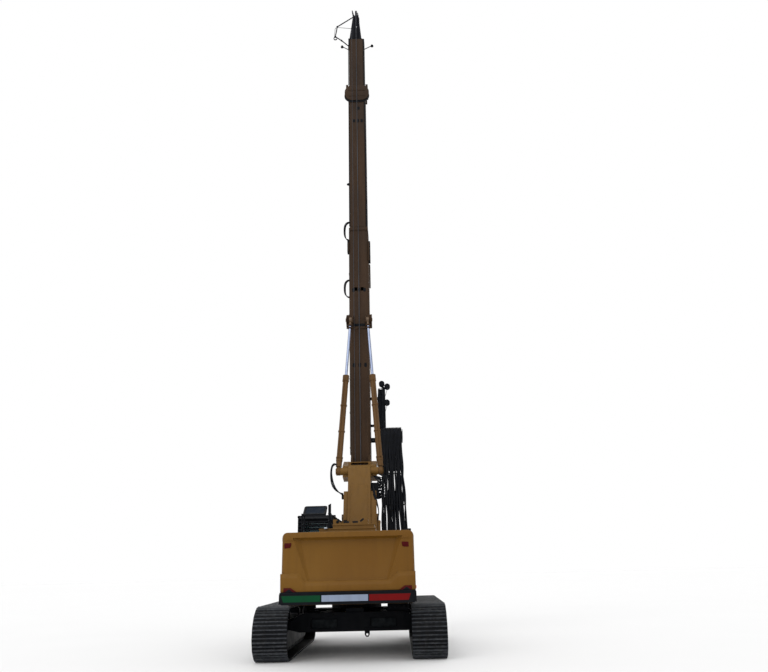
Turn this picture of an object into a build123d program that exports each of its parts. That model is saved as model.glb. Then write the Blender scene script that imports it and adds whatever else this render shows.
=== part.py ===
from build123d import *
import os
from math import atan2, cos, pi, radians, sin

os.makedirs("parts", exist_ok=True)

# Rotary piling rig on crawler tracks. Millimetres, +Y to the front, +X to the right, +Z up.
# Distances along Y are given from the slew axis, whose own place is slew_y.

# overall reach
tail_reach = 3420
kelly_reach = 4520
gearbox_radius = 450
slew_y = -(kelly_reach + gearbox_radius - tail_reach) / 2

# running fits and clearances
pin_fit = 0.05
slide_fit = 0.1
seat_gap = 0.3
swing_gap = 6

# crawler tracks
track_length = 5800
track_height = 1180
track_gauge = 3620
shoe_width = 800
shoe_count = 49
grousers_per_shoe = 3
grouser_height = 30
grouser_root = 36
shoe_plate = 26
chain_width = 250
chain_depth = 104
roller_radius = 105
roller_count = 9
roller_pitch = 400
top_roller_radius = 75
top_roller_reach = 900
track_frame_width = 400
track_frame_low = 400
track_frame_high = 820

# carbody and slew ring
beam_low = 520
beam_high = 960
beam_depth = 620
beam_reach = 1280
beam_wall = 30
pocket_width = 680
pocket_height = 250
pocket_depth = 90
pocket_reach = 740
ring_radius = 660
ring_height = 175
bearing_radius = 720

# upper frame
deck_low = 1200
deck_high = 1450
deck_width = 2900
deck_rear = 2600
deck_front = 1700
nose_front = 2160
nose_width = 1260
cheek_thickness = 45

# boom and its joints, all as (reach ahead of the slew axis, height)
boom_foot = (1300, 1950)
mast_pivot = (2800, 5150)
raker_foot = (2100, 4900)
lift_foot = (2000, 1570)
lift_head = (2250, 3500)
boom_width = 700
boom_wall = 20
boom_foot_radius = 230
boom_pin_radius = 70

# mast
mast_rear = 3000
mast_depth = 760
mast_width = 660
mast_wall = 15
mast_chamfer = 70
mast_foot = 1400
mast_split = 14000
mast_fold = 20300
mast_top = 22900
rail_width = 60
rail_depth = 110
lug_thickness = 80
lug_radius = 150
tilt_pin_radius = 60

# raker cylinders, from the boom's cross tube to the back of the mast
raker_foot_x = 670
raker_head_x = 300
clevis_gap = 14
clevis_sway = 62
raker_head = (2810, 10280)
raker_barrel_radius = 95
raker_rod_radius = 47
raker_barrel_length = 3300
raker_eye_radius = 95

# lift cylinders, from the nose of the frame to the boom
lift_x = 520
lift_barrel_radius = 95
lift_rod_radius = 55
lift_barrel_length = 1250
lift_eye_radius = 95
lift_eye_width = 110

# rope system
rope_radius = 14
aux_rope_radius = 9
rear_sheave_radius = 300
front_sheave_radius = 360
sheave_top = 24480
main_rope_reach = 2920
aux_rope_reach = 2885
aux_rope_x = -180

# drilling drive
kelly_radius = 210
kelly_wall = 22
kelly_low = 1100
kelly_high = 12600
inner_kelly_radius = 165
stub_size = 200
stub_low = 750
gearbox_low = 2450
gearbox_height = 620
crowd_radius = 90

# cab
cab_left = -1620
cab_right = -640
cab_rear = 0
cab_front = 1850
cab_floor = 1470
cab_roof = 3420
cab_wall = 55

# house and counterweight
house_width = 2960
weight_width = 2980
weight_low = 1510
weight_high = 2790
weight_depth = 780
hood_high = 2760


def reach(distance):
    return slew_y + distance


def span(low, high):
    return (low + high) / 2


def block(x, y, z, mode=Mode.ADD):
    # solid between two limits on each axis, y counted from the slew axis
    with BuildSketch(Plane.XY.offset(z[0])) as profile:
        with Locations((span(*x), reach(span(*y)))):
            Rectangle(x[1] - x[0], y[1] - y[0])
    extrude(profile.sketch, amount=z[1] - z[0], mode=mode)


def side_plate(x, outline, mode=Mode.ADD):
    # side view outline of (reach, height) points between two x limits
    with BuildSketch(Plane.YZ.offset(x[0])) as profile:
        with BuildLine():
            Polyline(*[(reach(a), b) for a, b in outline], close=True)
        make_face()
    extrude(profile.sketch, amount=x[1] - x[0], mode=mode)


def rear_plate(y, outline, mode=Mode.ADD):
    # rear view outline of (x, height) points between two distances from the slew axis
    with BuildSketch(Plane.XZ.offset(-reach(y[0]))) as profile:
        with BuildLine():
            Polyline(*outline, close=True)
        make_face()
    extrude(profile.sketch, amount=-(y[1] - y[0]), mode=mode)


def cross_pin(place, radius, x, mode=Mode.ADD):
    # cylinder along X at a (reach, height) place
    with BuildSketch(Plane.YZ.offset(x[0])) as profile:
        with Locations((reach(place[0]), place[1])):
            Circle(radius)
    extrude(profile.sketch, amount=x[1] - x[0], mode=mode)


def post(x, y, radius, z, mode=Mode.ADD):
    # upright cylinder
    with BuildSketch(Plane.XY.offset(z[0])) as profile:
        with Locations((x, reach(y))):
            Circle(radius)
    extrude(profile.sketch, amount=z[1] - z[0], mode=mode)


def bar(start, end, radius, mode=Mode.ADD):
    # round bar between two (x, reach, height) points
    first = Vector(start[0], reach(start[1]), start[2])
    last = Vector(end[0], reach(end[1]), end[2])
    with BuildSketch(Plane(origin=first, z_dir=last - first)) as profile:
        Circle(radius)
    extrude(profile.sketch, amount=(last - first).length, mode=mode)


def ring_along(start, direction, radius, bore, near, far, mode=Mode.ADD):
    # tube about a line, between two distances from its start
    origin = start + direction * near
    with BuildSketch(Plane(origin=origin, z_dir=direction)) as profile:
        Circle(radius)
        if bore:
            Circle(bore, mode=Mode.SUBTRACT)
    extrude(profile.sketch, amount=far - near, mode=mode)


# Tracks: one closed band of shoes with three grousers each, and the chain inside it.
wheel_height = track_height / 2
plate_radius = wheel_height - grouser_height
track_straight = track_length - track_height
band_inner = plate_radius - shoe_plate
chain_inner = band_inner - chain_depth
track_round = 2 * track_straight + 2 * pi * plate_radius


def track_point(run, height):
    # place on the band's outline after a run along it, and a height above its plates
    run = run % track_round
    half = track_straight / 2
    radius = plate_radius + height
    if run < track_straight:
        return (reach(-half + run), wheel_height - radius)
    run -= track_straight
    if run < pi * plate_radius:
        turn = run / plate_radius
        return (reach(half + radius * sin(turn)), wheel_height - radius * cos(turn))
    run -= pi * plate_radius
    if run < track_straight:
        return (reach(half - run), wheel_height + radius)
    turn = (run - track_straight) / plate_radius
    return (reach(-half - radius * sin(turn)), wheel_height + radius * cos(turn))


grouser_count = shoe_count * grousers_per_shoe
grouser_pitch = track_round / grouser_count
grouser_shape = ((-grouser_root / 2, 0), (0, grouser_height), (grouser_root / 2, 0))
band_outline = [
    track_point((number + 0.5) * grouser_pitch + offset, height)
    for number in range(grouser_count)
    for offset, height in grouser_shape
]

for name, side in (("track_left", -1), ("track_right", 1)):
    middle = side * track_gauge / 2
    with BuildPart() as track:
        with BuildSketch(Plane.YZ.offset(middle - shoe_width / 2)):
            with BuildLine():
                Polyline(*band_outline, close=True)
            make_face()
            with Locations((reach(0), wheel_height)):
                SlotCenterToCenter(track_straight, 2 * band_inner, mode=Mode.SUBTRACT)
        extrude(amount=shoe_width)
        with BuildSketch(Plane.YZ.offset(middle - chain_width / 2)):
            with Locations((reach(0), wheel_height)):
                SlotCenterToCenter(track_straight, 2 * (band_inner + shoe_plate / 2))
                SlotCenterToCenter(track_straight, 2 * chain_inner, mode=Mode.SUBTRACT)
        extrude(amount=chain_width)
    track.part.label = name
    export_step(track.part, f"parts/{name}.step")

# Track frames with their rollers on axles between the skirts.
roller_height = wheel_height - chain_inner + roller_radius + seat_gap
top_roller_height = wheel_height + chain_inner - top_roller_radius - seat_gap
frame_reach = track_straight / 2 - chain_inner - 40
skirt_thickness = 30
axle_radius = 35
skirt_low = roller_height - 60

for name, side in (("track_frame_left", -1), ("track_frame_right", 1)):
    middle = side * track_gauge / 2
    outer = track_frame_width / 2
    frame_side = [
        (-frame_reach, track_frame_low),
        (frame_reach, track_frame_low),
        (frame_reach, track_frame_high - 140),
        (frame_reach - 420, track_frame_high),
        (-frame_reach + 420, track_frame_high),
        (-frame_reach, track_frame_high - 140),
    ]
    with BuildPart() as track_frame:
        side_plate((middle - outer, middle + outer), frame_side)
        for skirt in (-outer, outer - skirt_thickness):
            limits = (middle + skirt, middle + skirt + skirt_thickness)
            block(limits, (-frame_reach, frame_reach), (skirt_low, track_frame_low + 1))
        for number in range(roller_count):
            place = ((number - (roller_count - 1) / 2) * roller_pitch, roller_height)
            cross_pin(place, roller_radius, (middle - outer + 50, middle + outer - 50))
            cross_pin(place, axle_radius, (middle - outer, middle + outer))
        for place in ((-top_roller_reach, top_roller_height), (top_roller_reach, top_roller_height)):
            cross_pin(place, top_roller_radius, (middle - 120, middle + 120))
            foot = (place[0] - 45, place[0] + 45)
            block((middle - 160, middle - 119), foot, (track_frame_high - 1, place[1] + 45))
            block((middle + 119, middle + 160), foot, (track_frame_high - 1, place[1] + 45))
        for end in (-1, 1):
            arm = (end * (frame_reach - 1), end * track_straight / 2)
            arm = (min(arm), max(arm))
            for edge in (-1, 1):
                plate = (middle + edge * 150, middle + edge * (outer - 5))
                plate = (min(plate), max(plate))
                block(plate, arm, (wheel_height - 120, wheel_height + 90))
        hollow = (middle - outer + 22, middle + outer - 22)
        well = (track_frame_low + 20, track_frame_high - 165)
        block(hollow, (-frame_reach + 30, frame_reach - 30), well, Mode.SUBTRACT)
    track_frame.part.label = name
    export_step(track_frame.part, f"parts/{name}.step")

# Rear sprockets with their drive housings, and front idlers.
wheel_radius = chain_inner - seat_gap
wheel_half = 60
tooth_count = 21
drive_radius = 230

with BuildPart() as sprockets:
    for side in (-1, 1):
        middle = side * track_gauge / 2
        place = (-track_straight / 2, wheel_height)
        cross_pin(place, wheel_radius, (middle - wheel_half, middle + wheel_half))
        with BuildSketch(Plane.YZ.offset(middle - wheel_half)):
            with Locations((reach(place[0]), place[1])):
                with PolarLocations(wheel_radius - 75, 10):
                    Circle(48)
        extrude(amount=2 * wheel_half, mode=Mode.SUBTRACT)
        limits = (middle - 146, middle + 146)
        cross_pin(place, drive_radius, limits)
sprockets.part.label = "sprockets"
export_step(sprockets.part, "parts/sprockets.step")

with BuildPart() as idlers:
    for side in (-1, 1):
        middle = side * track_gauge / 2
        place = (track_straight / 2, wheel_height)
        cross_pin(place, wheel_radius, (middle - wheel_half - 30, middle + wheel_half + 30))
        cross_pin(place, wheel_radius - 60, (middle + wheel_half - 15, middle + 91), Mode.SUBTRACT)
        cross_pin(place, wheel_radius - 60, (middle - 91, middle - wheel_half + 15), Mode.SUBTRACT)
        cross_pin(place, 120, (middle - 146, middle + 146))
idlers.part.label = "idlers"
export_step(idlers.part, "parts/idlers.step")

# Carbody: centre box, two cross beams onto the track frames, rear pockets and tow eye.
beam_end = track_gauge / 2 - track_frame_width / 2
tow_x = 330
tow_half = 62
tow_plate = 40
tow_drop = 130
tow_bore = 28
tow_rear = -beam_reach - tow_plate + 10

with BuildPart() as carbody:
    block((-ring_radius - 120, ring_radius + 120), (-1000, 1000), (beam_low, beam_high))
    for end in (-1, 1):
        limits = (end * (beam_reach - beam_depth), end * beam_reach)
        limits = (min(limits), max(limits))
        beam_shape = [
            (-beam_end, beam_low + 60),
            (-beam_end + 260, beam_low),
            (beam_end - 260, beam_low),
            (beam_end, beam_low + 60),
            (beam_end, beam_high - 150),
            (beam_end - 380, beam_high),
            (-beam_end + 380, beam_high),
            (-beam_end, beam_high - 150),
        ]
        rear_plate(limits, beam_shape)
    core = ring_radius + 120 - beam_wall
    middle_bay = (-beam_reach + beam_depth, beam_reach - beam_depth)
    block((-core, core), middle_bay, (beam_low - 1, beam_high - beam_wall), Mode.SUBTRACT)
    for end, skin in ((-1, pocket_depth + beam_wall), (1, beam_wall)):
        limits = (end * (beam_reach - beam_depth + beam_wall), end * (beam_reach - skin))
        limits = (min(limits), max(limits))
        hollow = beam_end - 420
        inside = (beam_low + beam_wall, beam_high - beam_wall)
        block((-hollow, hollow), limits, inside, Mode.SUBTRACT)
    for side in (-1, 1):
        with BuildSketch(Plane.XZ.offset(-reach(-beam_reach))):
            with Locations((side * pocket_reach, span(beam_low, beam_high) - 20)):
                RectangleRounded(pocket_width, pocket_height, 60)
        extrude(amount=-pocket_depth, mode=Mode.SUBTRACT)
    tow_shape = [
        (tow_x - tow_half, beam_low + 70),
        (tow_x - tow_half, beam_low - tow_drop + 50),
        (tow_x - tow_half + 35, beam_low - tow_drop),
        (tow_x + tow_half - 35, beam_low - tow_drop),
        (tow_x + tow_half, beam_low - tow_drop + 50),
        (tow_x + tow_half, beam_low + 70),
    ]
    rear_plate((tow_rear, tow_rear + tow_plate), tow_shape)
    with BuildSketch(Plane.XZ.offset(-reach(tow_rear))):
        with Locations((tow_x, beam_low - tow_drop / 2 - 10)):
            Circle(tow_bore)
    extrude(amount=-tow_plate, mode=Mode.SUBTRACT)
carbody.part.label = "carbody"
export_step(carbody.part, "parts/carbody.step")

with BuildPart() as slew_ring:
    post(0, 0, ring_radius, (beam_high, beam_high + ring_height))
    post(0, 0, ring_radius - 160, (beam_high, beam_high + ring_height), Mode.SUBTRACT)
slew_ring.part.label = "slew_ring"
export_step(slew_ring.part, "parts/slew_ring.step")

# Upper frame: bearing, deck, nose and the cheeks that hold the boom's foot.
ring_top = beam_high + ring_height
bearing_low = ring_top + seat_gap
cheek_inner = boom_width / 2 + swing_gap
deck_plate = 25
deck_wells = (
    (30, 700, -deck_rear + 30, -760),
    (730, deck_width / 2 - 30, -deck_rear + 30, -760),
    (bearing_radius + 30, deck_width / 2 - 30, -730, 730),
    (30, 340, 760, deck_front - 30),
    (680, deck_width / 2 - 30, 760, deck_front - 30),
)
cheek_outer = cheek_inner + cheek_thickness
foot_boss = 20
lift_lug_inner = lift_x - lift_eye_width / 2 - swing_gap
lift_lug_outer = lift_x + lift_eye_width / 2 + swing_gap
lift_lug = 26
lift_pin_radius = 40

with BuildPart() as upper_frame:
    post(0, 0, bearing_radius, (bearing_low, deck_low + 1))
    post(0, 0, bearing_radius - 170, (bearing_low, deck_low + 1), Mode.SUBTRACT)
    block((-deck_width / 2, deck_width / 2), (-deck_rear, deck_front), (deck_low, deck_high))
    block((-nose_width / 2, nose_width / 2), (deck_front - 1, nose_front), (deck_low + 20, deck_high))
    for side in (-1, 1):
        for inner, outer, rear, front in deck_wells:
            limits = (side * inner, side * outer)
            limits = (min(limits), max(limits))
            block(limits, (rear, front), (deck_low - 1, deck_high - deck_plate), Mode.SUBTRACT)
        cheek = (side * cheek_inner, side * cheek_outer)
        cheek = (min(cheek), max(cheek))
        cheek_side = [
            (boom_foot[0] - 900, deck_high - 1),
            (boom_foot[0] + 560, deck_high - 1),
            (boom_foot[0] + 215, boom_foot[1]),
            (boom_foot[0] - 215, boom_foot[1]),
        ]
        side_plate(cheek, cheek_side)
        cross_pin(boom_foot, 215, cheek)
        boss = (side * cheek_inner, side * (cheek_outer + foot_boss))
        cross_pin(boom_foot, 150, (min(boss), max(boss)))
        for inner in (lift_lug_inner - lift_lug, lift_lug_outer):
            limits = (side * inner, side * (inner + lift_lug))
            limits = (min(limits), max(limits))
            lug_side = [
                (lift_foot[0] - 190, deck_high - 1),
                (lift_foot[0] + 150, deck_high - 1),
                (lift_foot[0] + 80, lift_foot[1] + 20),
                (lift_foot[0] - 80, lift_foot[1] + 20),
            ]
            side_plate(limits, lug_side)
            cross_pin(lift_foot, 85, limits)
        limits = (side * (lift_lug_inner - lift_lug), side * (lift_lug_outer + lift_lug + 12))
        cross_pin(lift_foot, lift_pin_radius, (min(limits), max(limits)))
    cross_pin(boom_foot, boom_pin_radius, (-cheek_outer, cheek_outer))
upper_frame.part.label = "upper_frame"
export_step(upper_frame.part, "parts/upper_frame.step")

# Counterweight: rounded casting with a recessed rear panel that narrows downwards.
weight_rear = tail_reach - 20
weight_front = weight_rear - weight_depth
corner_radius = 140
panel_depth = 40
panel_high = weight_high - 140
panel_low = weight_low + 190
panel_top_half = 1190
panel_low_half = 900
weight_core = (weight_low + 260, weight_high - 320)

with BuildPart() as counterweight:
    with BuildSketch(Plane.XZ.offset(-reach(-weight_rear))):
        with Locations((0, span(weight_low, weight_high))):
            Rectangle(weight_width, weight_high - weight_low)
        fillet(vertices().group_by(Axis.Y)[-1], radius=corner_radius)
    extrude(amount=-weight_depth)
    upright = edges().filter_by(Axis.Z).group_by(Axis.Y)[0]
    fillet(upright, radius=corner_radius)
    recess = [
        (-panel_top_half, panel_high),
        (panel_top_half, panel_high),
        (panel_low_half, panel_low),
        (-panel_low_half, panel_low),
    ]
    rear_plate((-weight_rear - 1, -weight_rear + panel_depth), recess, Mode.SUBTRACT)
    block((-1200, 1200), (-weight_front - 560, -weight_front + 1), weight_core, Mode.SUBTRACT)
counterweight.part.label = "counterweight"
export_step(counterweight.part, "parts/counterweight.step")

# Rear bumper beam below the counterweight.
bumper_low = 1250
bumper_high = 1480
bumper_width = 3040
bumper_depth = 240

with BuildPart() as bumper:
    bumper_face = [
        (-bumper_width / 2 + 40, bumper_low),
        (bumper_width / 2 - 40, bumper_low),
        (bumper_width / 2, bumper_low + 90),
        (bumper_width / 2, bumper_high),
        (-bumper_width / 2, bumper_high),
        (-bumper_width / 2, bumper_low + 90),
    ]
    rear_plate((-tail_reach, -tail_reach + bumper_depth), bumper_face)
    for side in (-1, 1):
        limits = (side * 620, side * 760)
        limits = (min(limits), max(limits))
        block(limits, (-tail_reach + bumper_depth - 1, -deck_rear), (bumper_low + 30, deck_high - 30))
    block((-1200, 1200), (-tail_reach + 60, -weight_front - 1), (bumper_high - 1, weight_low))
bumper.part.label = "bumper"
export_step(bumper.part, "parts/bumper.step")

# Engine house: hollow shell on the deck, open below, with side grilles and a raised top.
house_rear = weight_front - seat_gap
house_front = 700
house_wall = 8
raised_left = -760
raised_right = 610
raised_rear = 2350
raised_front = 900
raised_high = hood_high + 150
step_left = -430
step_right = raised_right - 30
step_rear = 2330
step_front = 1100
step_height = 90
louvre_low = 1700
louvre_count = 9
louvre_pitch = 95
louvre_height = 45

with BuildPart() as engine_house:
    block((-house_width / 2, house_width / 2), (-house_rear, -house_front), (deck_high, hood_high))
    edge_set = edges().filter_by(Axis.Y).group_by(Axis.Z)[-1]
    fillet(edge_set, radius=70)
    tiers = (
        # left, right, rear, front, low, high
        (raised_left, raised_right, raised_rear, raised_front, hood_high - 1, raised_high),
        (step_left, step_right, step_rear, step_front, raised_high - 1, raised_high + step_height),
    )
    for left, right, rear, front, low, high in tiers:
        block((left, right), (-rear, -front), (low, high))
    for left, right, rear, front, low, high in tiers:
        across = (left + house_wall, right - house_wall)
        along = (-rear + house_wall, -front - house_wall)
        block(across, along, (low - house_wall, high - house_wall), Mode.SUBTRACT)
    inner = (-house_width / 2 + house_wall, house_width / 2 - house_wall)
    along = (-house_rear + house_wall, -house_front - house_wall)
    block(inner, along, (deck_high - 1, hood_high - house_wall), Mode.SUBTRACT)
    for side in (-1, 1):
        wall = (side * (house_width / 2 - house_wall - 1), side * (house_width / 2 + 1))
        wall = (min(wall), max(wall))
        for number in range(louvre_count):
            low = louvre_low + number * louvre_pitch
            block(wall, (-1350, -850), (low, low + louvre_height), Mode.SUBTRACT)
engine_house.part.label = "engine_house"
export_step(engine_house.part, "parts/engine_house.step")

with BuildPart() as engine:
    block((-800, 800), (-2050, -1250), (deck_high, deck_high + 850))
engine.part.label = "engine"
export_step(engine.part, "parts/engine.step")

# Cradle on the house top that carries the mast when it lies back, with four rubber pads.
cradle_y = 2200
cradle_low = raised_high + step_height
cradle_arm = 90
cradle_floor = cradle_low + 40
pad_thickness = 45
pad_half = 65
pad_x = 110

with BuildPart() as mast_cradle:
    cradle_shape = [
        (-430, cradle_low),
        (430, cradle_low),
        (430, cradle_floor + cradle_arm),
        (350, cradle_floor + cradle_arm),
        (230, cradle_floor),
        (-230, cradle_floor),
        (-350, cradle_floor + cradle_arm),
        (-430, cradle_floor + cradle_arm),
    ]
    rear_plate((-cradle_y - 90, -cradle_y + 90), cradle_shape)
mast_cradle.part.label = "mast_cradle"
export_step(mast_cradle.part, "parts/mast_cradle.step")

with BuildPart() as cradle_pads:
    for x in (-pad_x, pad_x):
        seat_level = (cradle_floor, cradle_floor + pad_thickness)
        block((x - pad_half, x + pad_half), (-cradle_y - 70, -cradle_y + 70), seat_level)
    for side in (-1, 1):
        slope = atan2(cradle_arm, 120)
        normal = (-side * sin(slope), cos(slope))
        low = (side * 250, cradle_floor + 20 * cradle_arm / 120)
        high = (side * 335, cradle_floor + 105 * cradle_arm / 120)
        pad_shape = [
            low,
            high,
            (high[0] + normal[0] * pad_thickness, high[1] + normal[1] * pad_thickness),
            (low[0] + normal[0] * pad_thickness, low[1] + normal[1] * pad_thickness),
        ]
        rear_plate((-cradle_y - 70, -cradle_y + 70), pad_shape)
cradle_pads.part.label = "cradle_pads"
export_step(cradle_pads.part, "parts/cradle_pads.step")

# Exhaust stack on the house top, open at its upper end.
exhaust_x = -562
exhaust_y = -1800
exhaust_radius = 37
exhaust_wall = 6
exhaust_high = 3560

with BuildPart() as exhaust:
    post(exhaust_x, exhaust_y, 2 * exhaust_radius, (raised_high, raised_high + 160))
    post(exhaust_x, exhaust_y, exhaust_radius, (raised_high + 159, exhaust_high))
    mouth = (exhaust_high - 160, exhaust_high + 1)
    post(exhaust_x, exhaust_y, exhaust_radius - exhaust_wall, mouth, Mode.SUBTRACT)
exhaust.part.label = "exhaust"
export_step(exhaust.part, "parts/exhaust.step")

# Tank and valve housing with two steps on the right, locker behind the cab on the left.
side_inner = 640
tank_high = 2480
tank_front = 900
upper_step = (1320, 2080)
lower_step = (1650, 1760)
tank_wall = 12
roof_wall = 60
locker_high = 2500
locker_front = cab_rear - 60

with BuildPart() as tank_house:
    block((side_inner, house_width / 2), (-house_front + seat_gap, tank_front), (deck_high, tank_high))
    fillet(edges().filter_by(Axis.Y).group_by(Axis.Z)[-1], radius=60)
    block((side_inner, house_width / 2), (tank_front - 1, upper_step[0]), (deck_high, upper_step[1]))
    block((side_inner, house_width / 2), (upper_step[0] - 1, lower_step[0]), (deck_high, lower_step[1]))
    shell = (side_inner + tank_wall, house_width / 2 - tank_wall)
    for rear, front, high in (
        (-house_front + tank_wall, tank_front - tank_wall, tank_high - roof_wall),
        (tank_front, upper_step[0] - tank_wall, upper_step[1] - tank_wall),
        (upper_step[0], lower_step[0] - tank_wall, lower_step[1] - tank_wall),
    ):
        block(shell, (rear, front), (deck_high - 1, high), Mode.SUBTRACT)
tank_house.part.label = "tank_house"
export_step(tank_house.part, "parts/tank_house.step")

with BuildPart() as locker:
    block((-house_width / 2, -side_inner), (-house_front + seat_gap, locker_front), (deck_high, locker_high))
    fillet(edges().filter_by(Axis.Y).group_by(Axis.Z)[-1], radius=60)
    shell = (-house_width / 2 + tank_wall, -side_inner - tank_wall)
    along = (-house_front + tank_wall, locker_front - tank_wall)
    block(shell, along, (deck_high - 1, locker_high - roof_wall), Mode.SUBTRACT)
locker.part.label = "locker"
export_step(locker.part, "parts/locker.step")

# Cab: hollow shell with windows on every side, a doorway on the left and a roof hatch.
door_rear = cab_rear + 330
door_front = cab_rear + 1270
door_low = cab_floor + 60
door_high = cab_roof - 130
hatch_rear = cab_rear + 500
hatch_front = cab_rear + 1020
hinge_x = cab_left - 25
hinge_pin_radius = 12
hinge_heights = (cab_floor + 300, cab_roof - 400)
hatch_under = 12
hatch_hinge = (hatch_rear - 10, cab_roof + 30)
hatch_left = cab_left + 85
hatch_right = cab_right - 275
hatch_lip = 25

with BuildPart() as cab_shell:
    cab_side = [
        (cab_rear, cab_floor),
        (cab_front - 120, cab_floor),
        (cab_front, cab_floor + 380),
        (cab_front - 160, cab_roof - 120),
        (cab_front - 340, cab_roof),
        (cab_rear + 60, cab_roof),
        (cab_rear, cab_roof - 90),
    ]
    side_plate((cab_left, cab_right), cab_side)
    cab_inside = [
        (cab_rear + cab_wall, cab_floor + cab_wall),
        (cab_front - 120 - cab_wall, cab_floor + cab_wall),
        (cab_front - cab_wall, cab_floor + 400),
        (cab_front - 160 - cab_wall, cab_roof - 120),
        (cab_front - 350, cab_roof - cab_wall),
        (cab_rear + 80, cab_roof - cab_wall),
        (cab_rear + cab_wall, cab_roof - 100),
    ]
    side_plate((cab_left + cab_wall, cab_right - cab_wall), cab_inside, Mode.SUBTRACT)
    doorway = [
        (door_rear, door_low),
        (door_front, door_low),
        (door_front, door_high),
        (door_rear, door_high),
    ]
    side_plate((cab_left - 1, cab_left + cab_wall + 1), doorway, Mode.SUBTRACT)
    right_window = [
        (cab_rear + 170, cab_floor + 900),
        (cab_front - 330, cab_floor + 900),
        (cab_front - 400, cab_roof - 190),
        (cab_rear + 170, cab_roof - 190),
    ]
    side_plate((cab_right - cab_wall - 1, cab_right + 1), right_window, Mode.SUBTRACT)
    front_window = [
        (cab_left + 110, cab_floor + 480),
        (cab_right - 110, cab_floor + 480),
        (cab_right - 110, cab_roof - 190),
        (cab_left + 110, cab_roof - 190),
    ]
    rear_plate((cab_front - 330, cab_front + 10), front_window, Mode.SUBTRACT)
    rear_window = [
        (cab_left + 130, cab_floor + 950),
        (cab_right - 130, cab_floor + 950),
        (cab_right - 130, cab_roof - 170),
        (cab_left + 130, cab_roof - 170),
    ]
    rear_plate((cab_rear - 1, cab_rear + cab_wall + 1), rear_window, Mode.SUBTRACT)
    roof = (cab_roof - cab_wall - 1, cab_roof + 1)
    block((hatch_left, hatch_right), (hatch_rear, hatch_front), roof, Mode.SUBTRACT)
    for x in (cab_left + 140, cab_right - 140):
        for y in (cab_rear + 200, cab_front - 320):
            post(x, y, 60, (deck_high, cab_floor + 1))
    for height in hinge_heights:
        for low in (height - 60, height + 30):
            block((hinge_x, cab_left + 1), (door_rear - 40, door_rear - 12), (low, low + 30))
            post(hinge_x, door_rear, 24, (low, low + 30))
        post(hinge_x, door_rear, hinge_pin_radius, (height - 60, height + 60))
    hinge_seat = (cab_roof - 1, hatch_hinge[1] - hatch_under - seat_gap)
    for x in (hatch_left + 60, hatch_right - 100):
        block((x, x + 40), (hatch_rear - 32, hatch_rear), hinge_seat)
cab_shell.part.label = "cab_shell"
export_step(cab_shell.part, "parts/cab_shell.step")

# Louvred guard on the upper rear of the cab.
slat_count = 4
slat_pitch = 100

with BuildPart() as cab_guard:
    for x in (cab_left + 5, cab_right - 35):
        block((x, x + 30), (cab_rear - 60, cab_rear - seat_gap), (cab_roof - 460, cab_roof - 10))
    for number in range(slat_count):
        low = cab_roof - 110 - number * slat_pitch
        slat = [
            (cab_rear - 70, low),
            (cab_rear - 5, low + 45),
            (cab_rear - 5, low + 65),
            (cab_rear - 70, low + 20),
        ]
        side_plate((cab_left + 5, cab_right - 5), slat)
cab_guard.part.label = "cab_guard"
export_step(cab_guard.part, "parts/cab_guard.step")

# Operator's seat with its two consoles on the cab floor.
with BuildPart() as seat:
    seat_x = span(cab_left, cab_right)
    base = cab_floor + cab_wall
    block((seat_x - 180, seat_x + 180), (cab_rear + 480, cab_rear + 900), (base, base + 330))
    block((seat_x - 250, seat_x + 250), (cab_rear + 420, cab_rear + 950), (base + 329, base + 460))
    backrest = [
        (cab_rear + 330, base + 459),
        (cab_rear + 480, base + 459),
        (cab_rear + 380, base + 1150),
        (cab_rear + 270, base + 1150),
    ]
    side_plate((seat_x - 235, seat_x + 235), backrest)
    block((seat_x - 235, seat_x + 235), (cab_rear + 330, cab_rear + 480), (base + 400, base + 460))
seat.part.label = "seat"
export_step(seat.part, "parts/seat.step")

with BuildPart() as consoles:
    for side in (-1, 1):
        limits = (seat_x + side * 270, seat_x + side * 390)
        limits = (min(limits), max(limits))
        block(limits, (cab_rear + 480, cab_rear + 1120), (base, base + 640))
        grip_x = seat_x + side * 330
        post(grip_x, cab_rear + 1050, 20, (base + 639, base + 820))
consoles.part.label = "consoles"
export_step(consoles.part, "parts/consoles.step")

# Cab door on rear hinges, with its window cut.
door_gap = 8
door_thickness = 45

with BuildPart() as cab_door:
    door_outline = [
        (door_rear + door_gap, door_low + door_gap),
        (door_front - door_gap, door_low + door_gap),
        (door_front - door_gap, door_high - door_gap),
        (door_rear + door_gap, door_high - door_gap),
    ]
    side_plate((cab_left, cab_left + door_thickness), door_outline)
    door_window = [
        (door_rear + 100, door_low + 760),
        (door_front - 90, door_low + 560),
        (door_front - 90, door_high - 90),
        (door_rear + 100, door_high - 90),
    ]
    side_plate((cab_left - 1, cab_left + door_thickness + 1), door_window, Mode.SUBTRACT)
    handle = (door_low + 480, door_low + 510)
    block((cab_left - 30, cab_left + 1), (door_front - 190, door_front - 110), handle)
    for height in hinge_heights:
        limits = (height - 30 + seat_gap, height + 30 - seat_gap)
        post(hinge_x, door_rear, 24, limits)
        block((hinge_x, cab_left + 1), (door_rear + 10, door_rear + 60), limits)
        post(hinge_x, door_rear, hinge_pin_radius + pin_fit, limits, Mode.SUBTRACT)
cab_door.part.label = "cab_door"
export_step(cab_door.part, "parts/cab_door.step")

# Roof hatch, held open on its rear hinge.
hatch_open = radians(31)
hatch_length = hatch_front - hatch_rear - 16
hatch_thickness = 35

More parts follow.
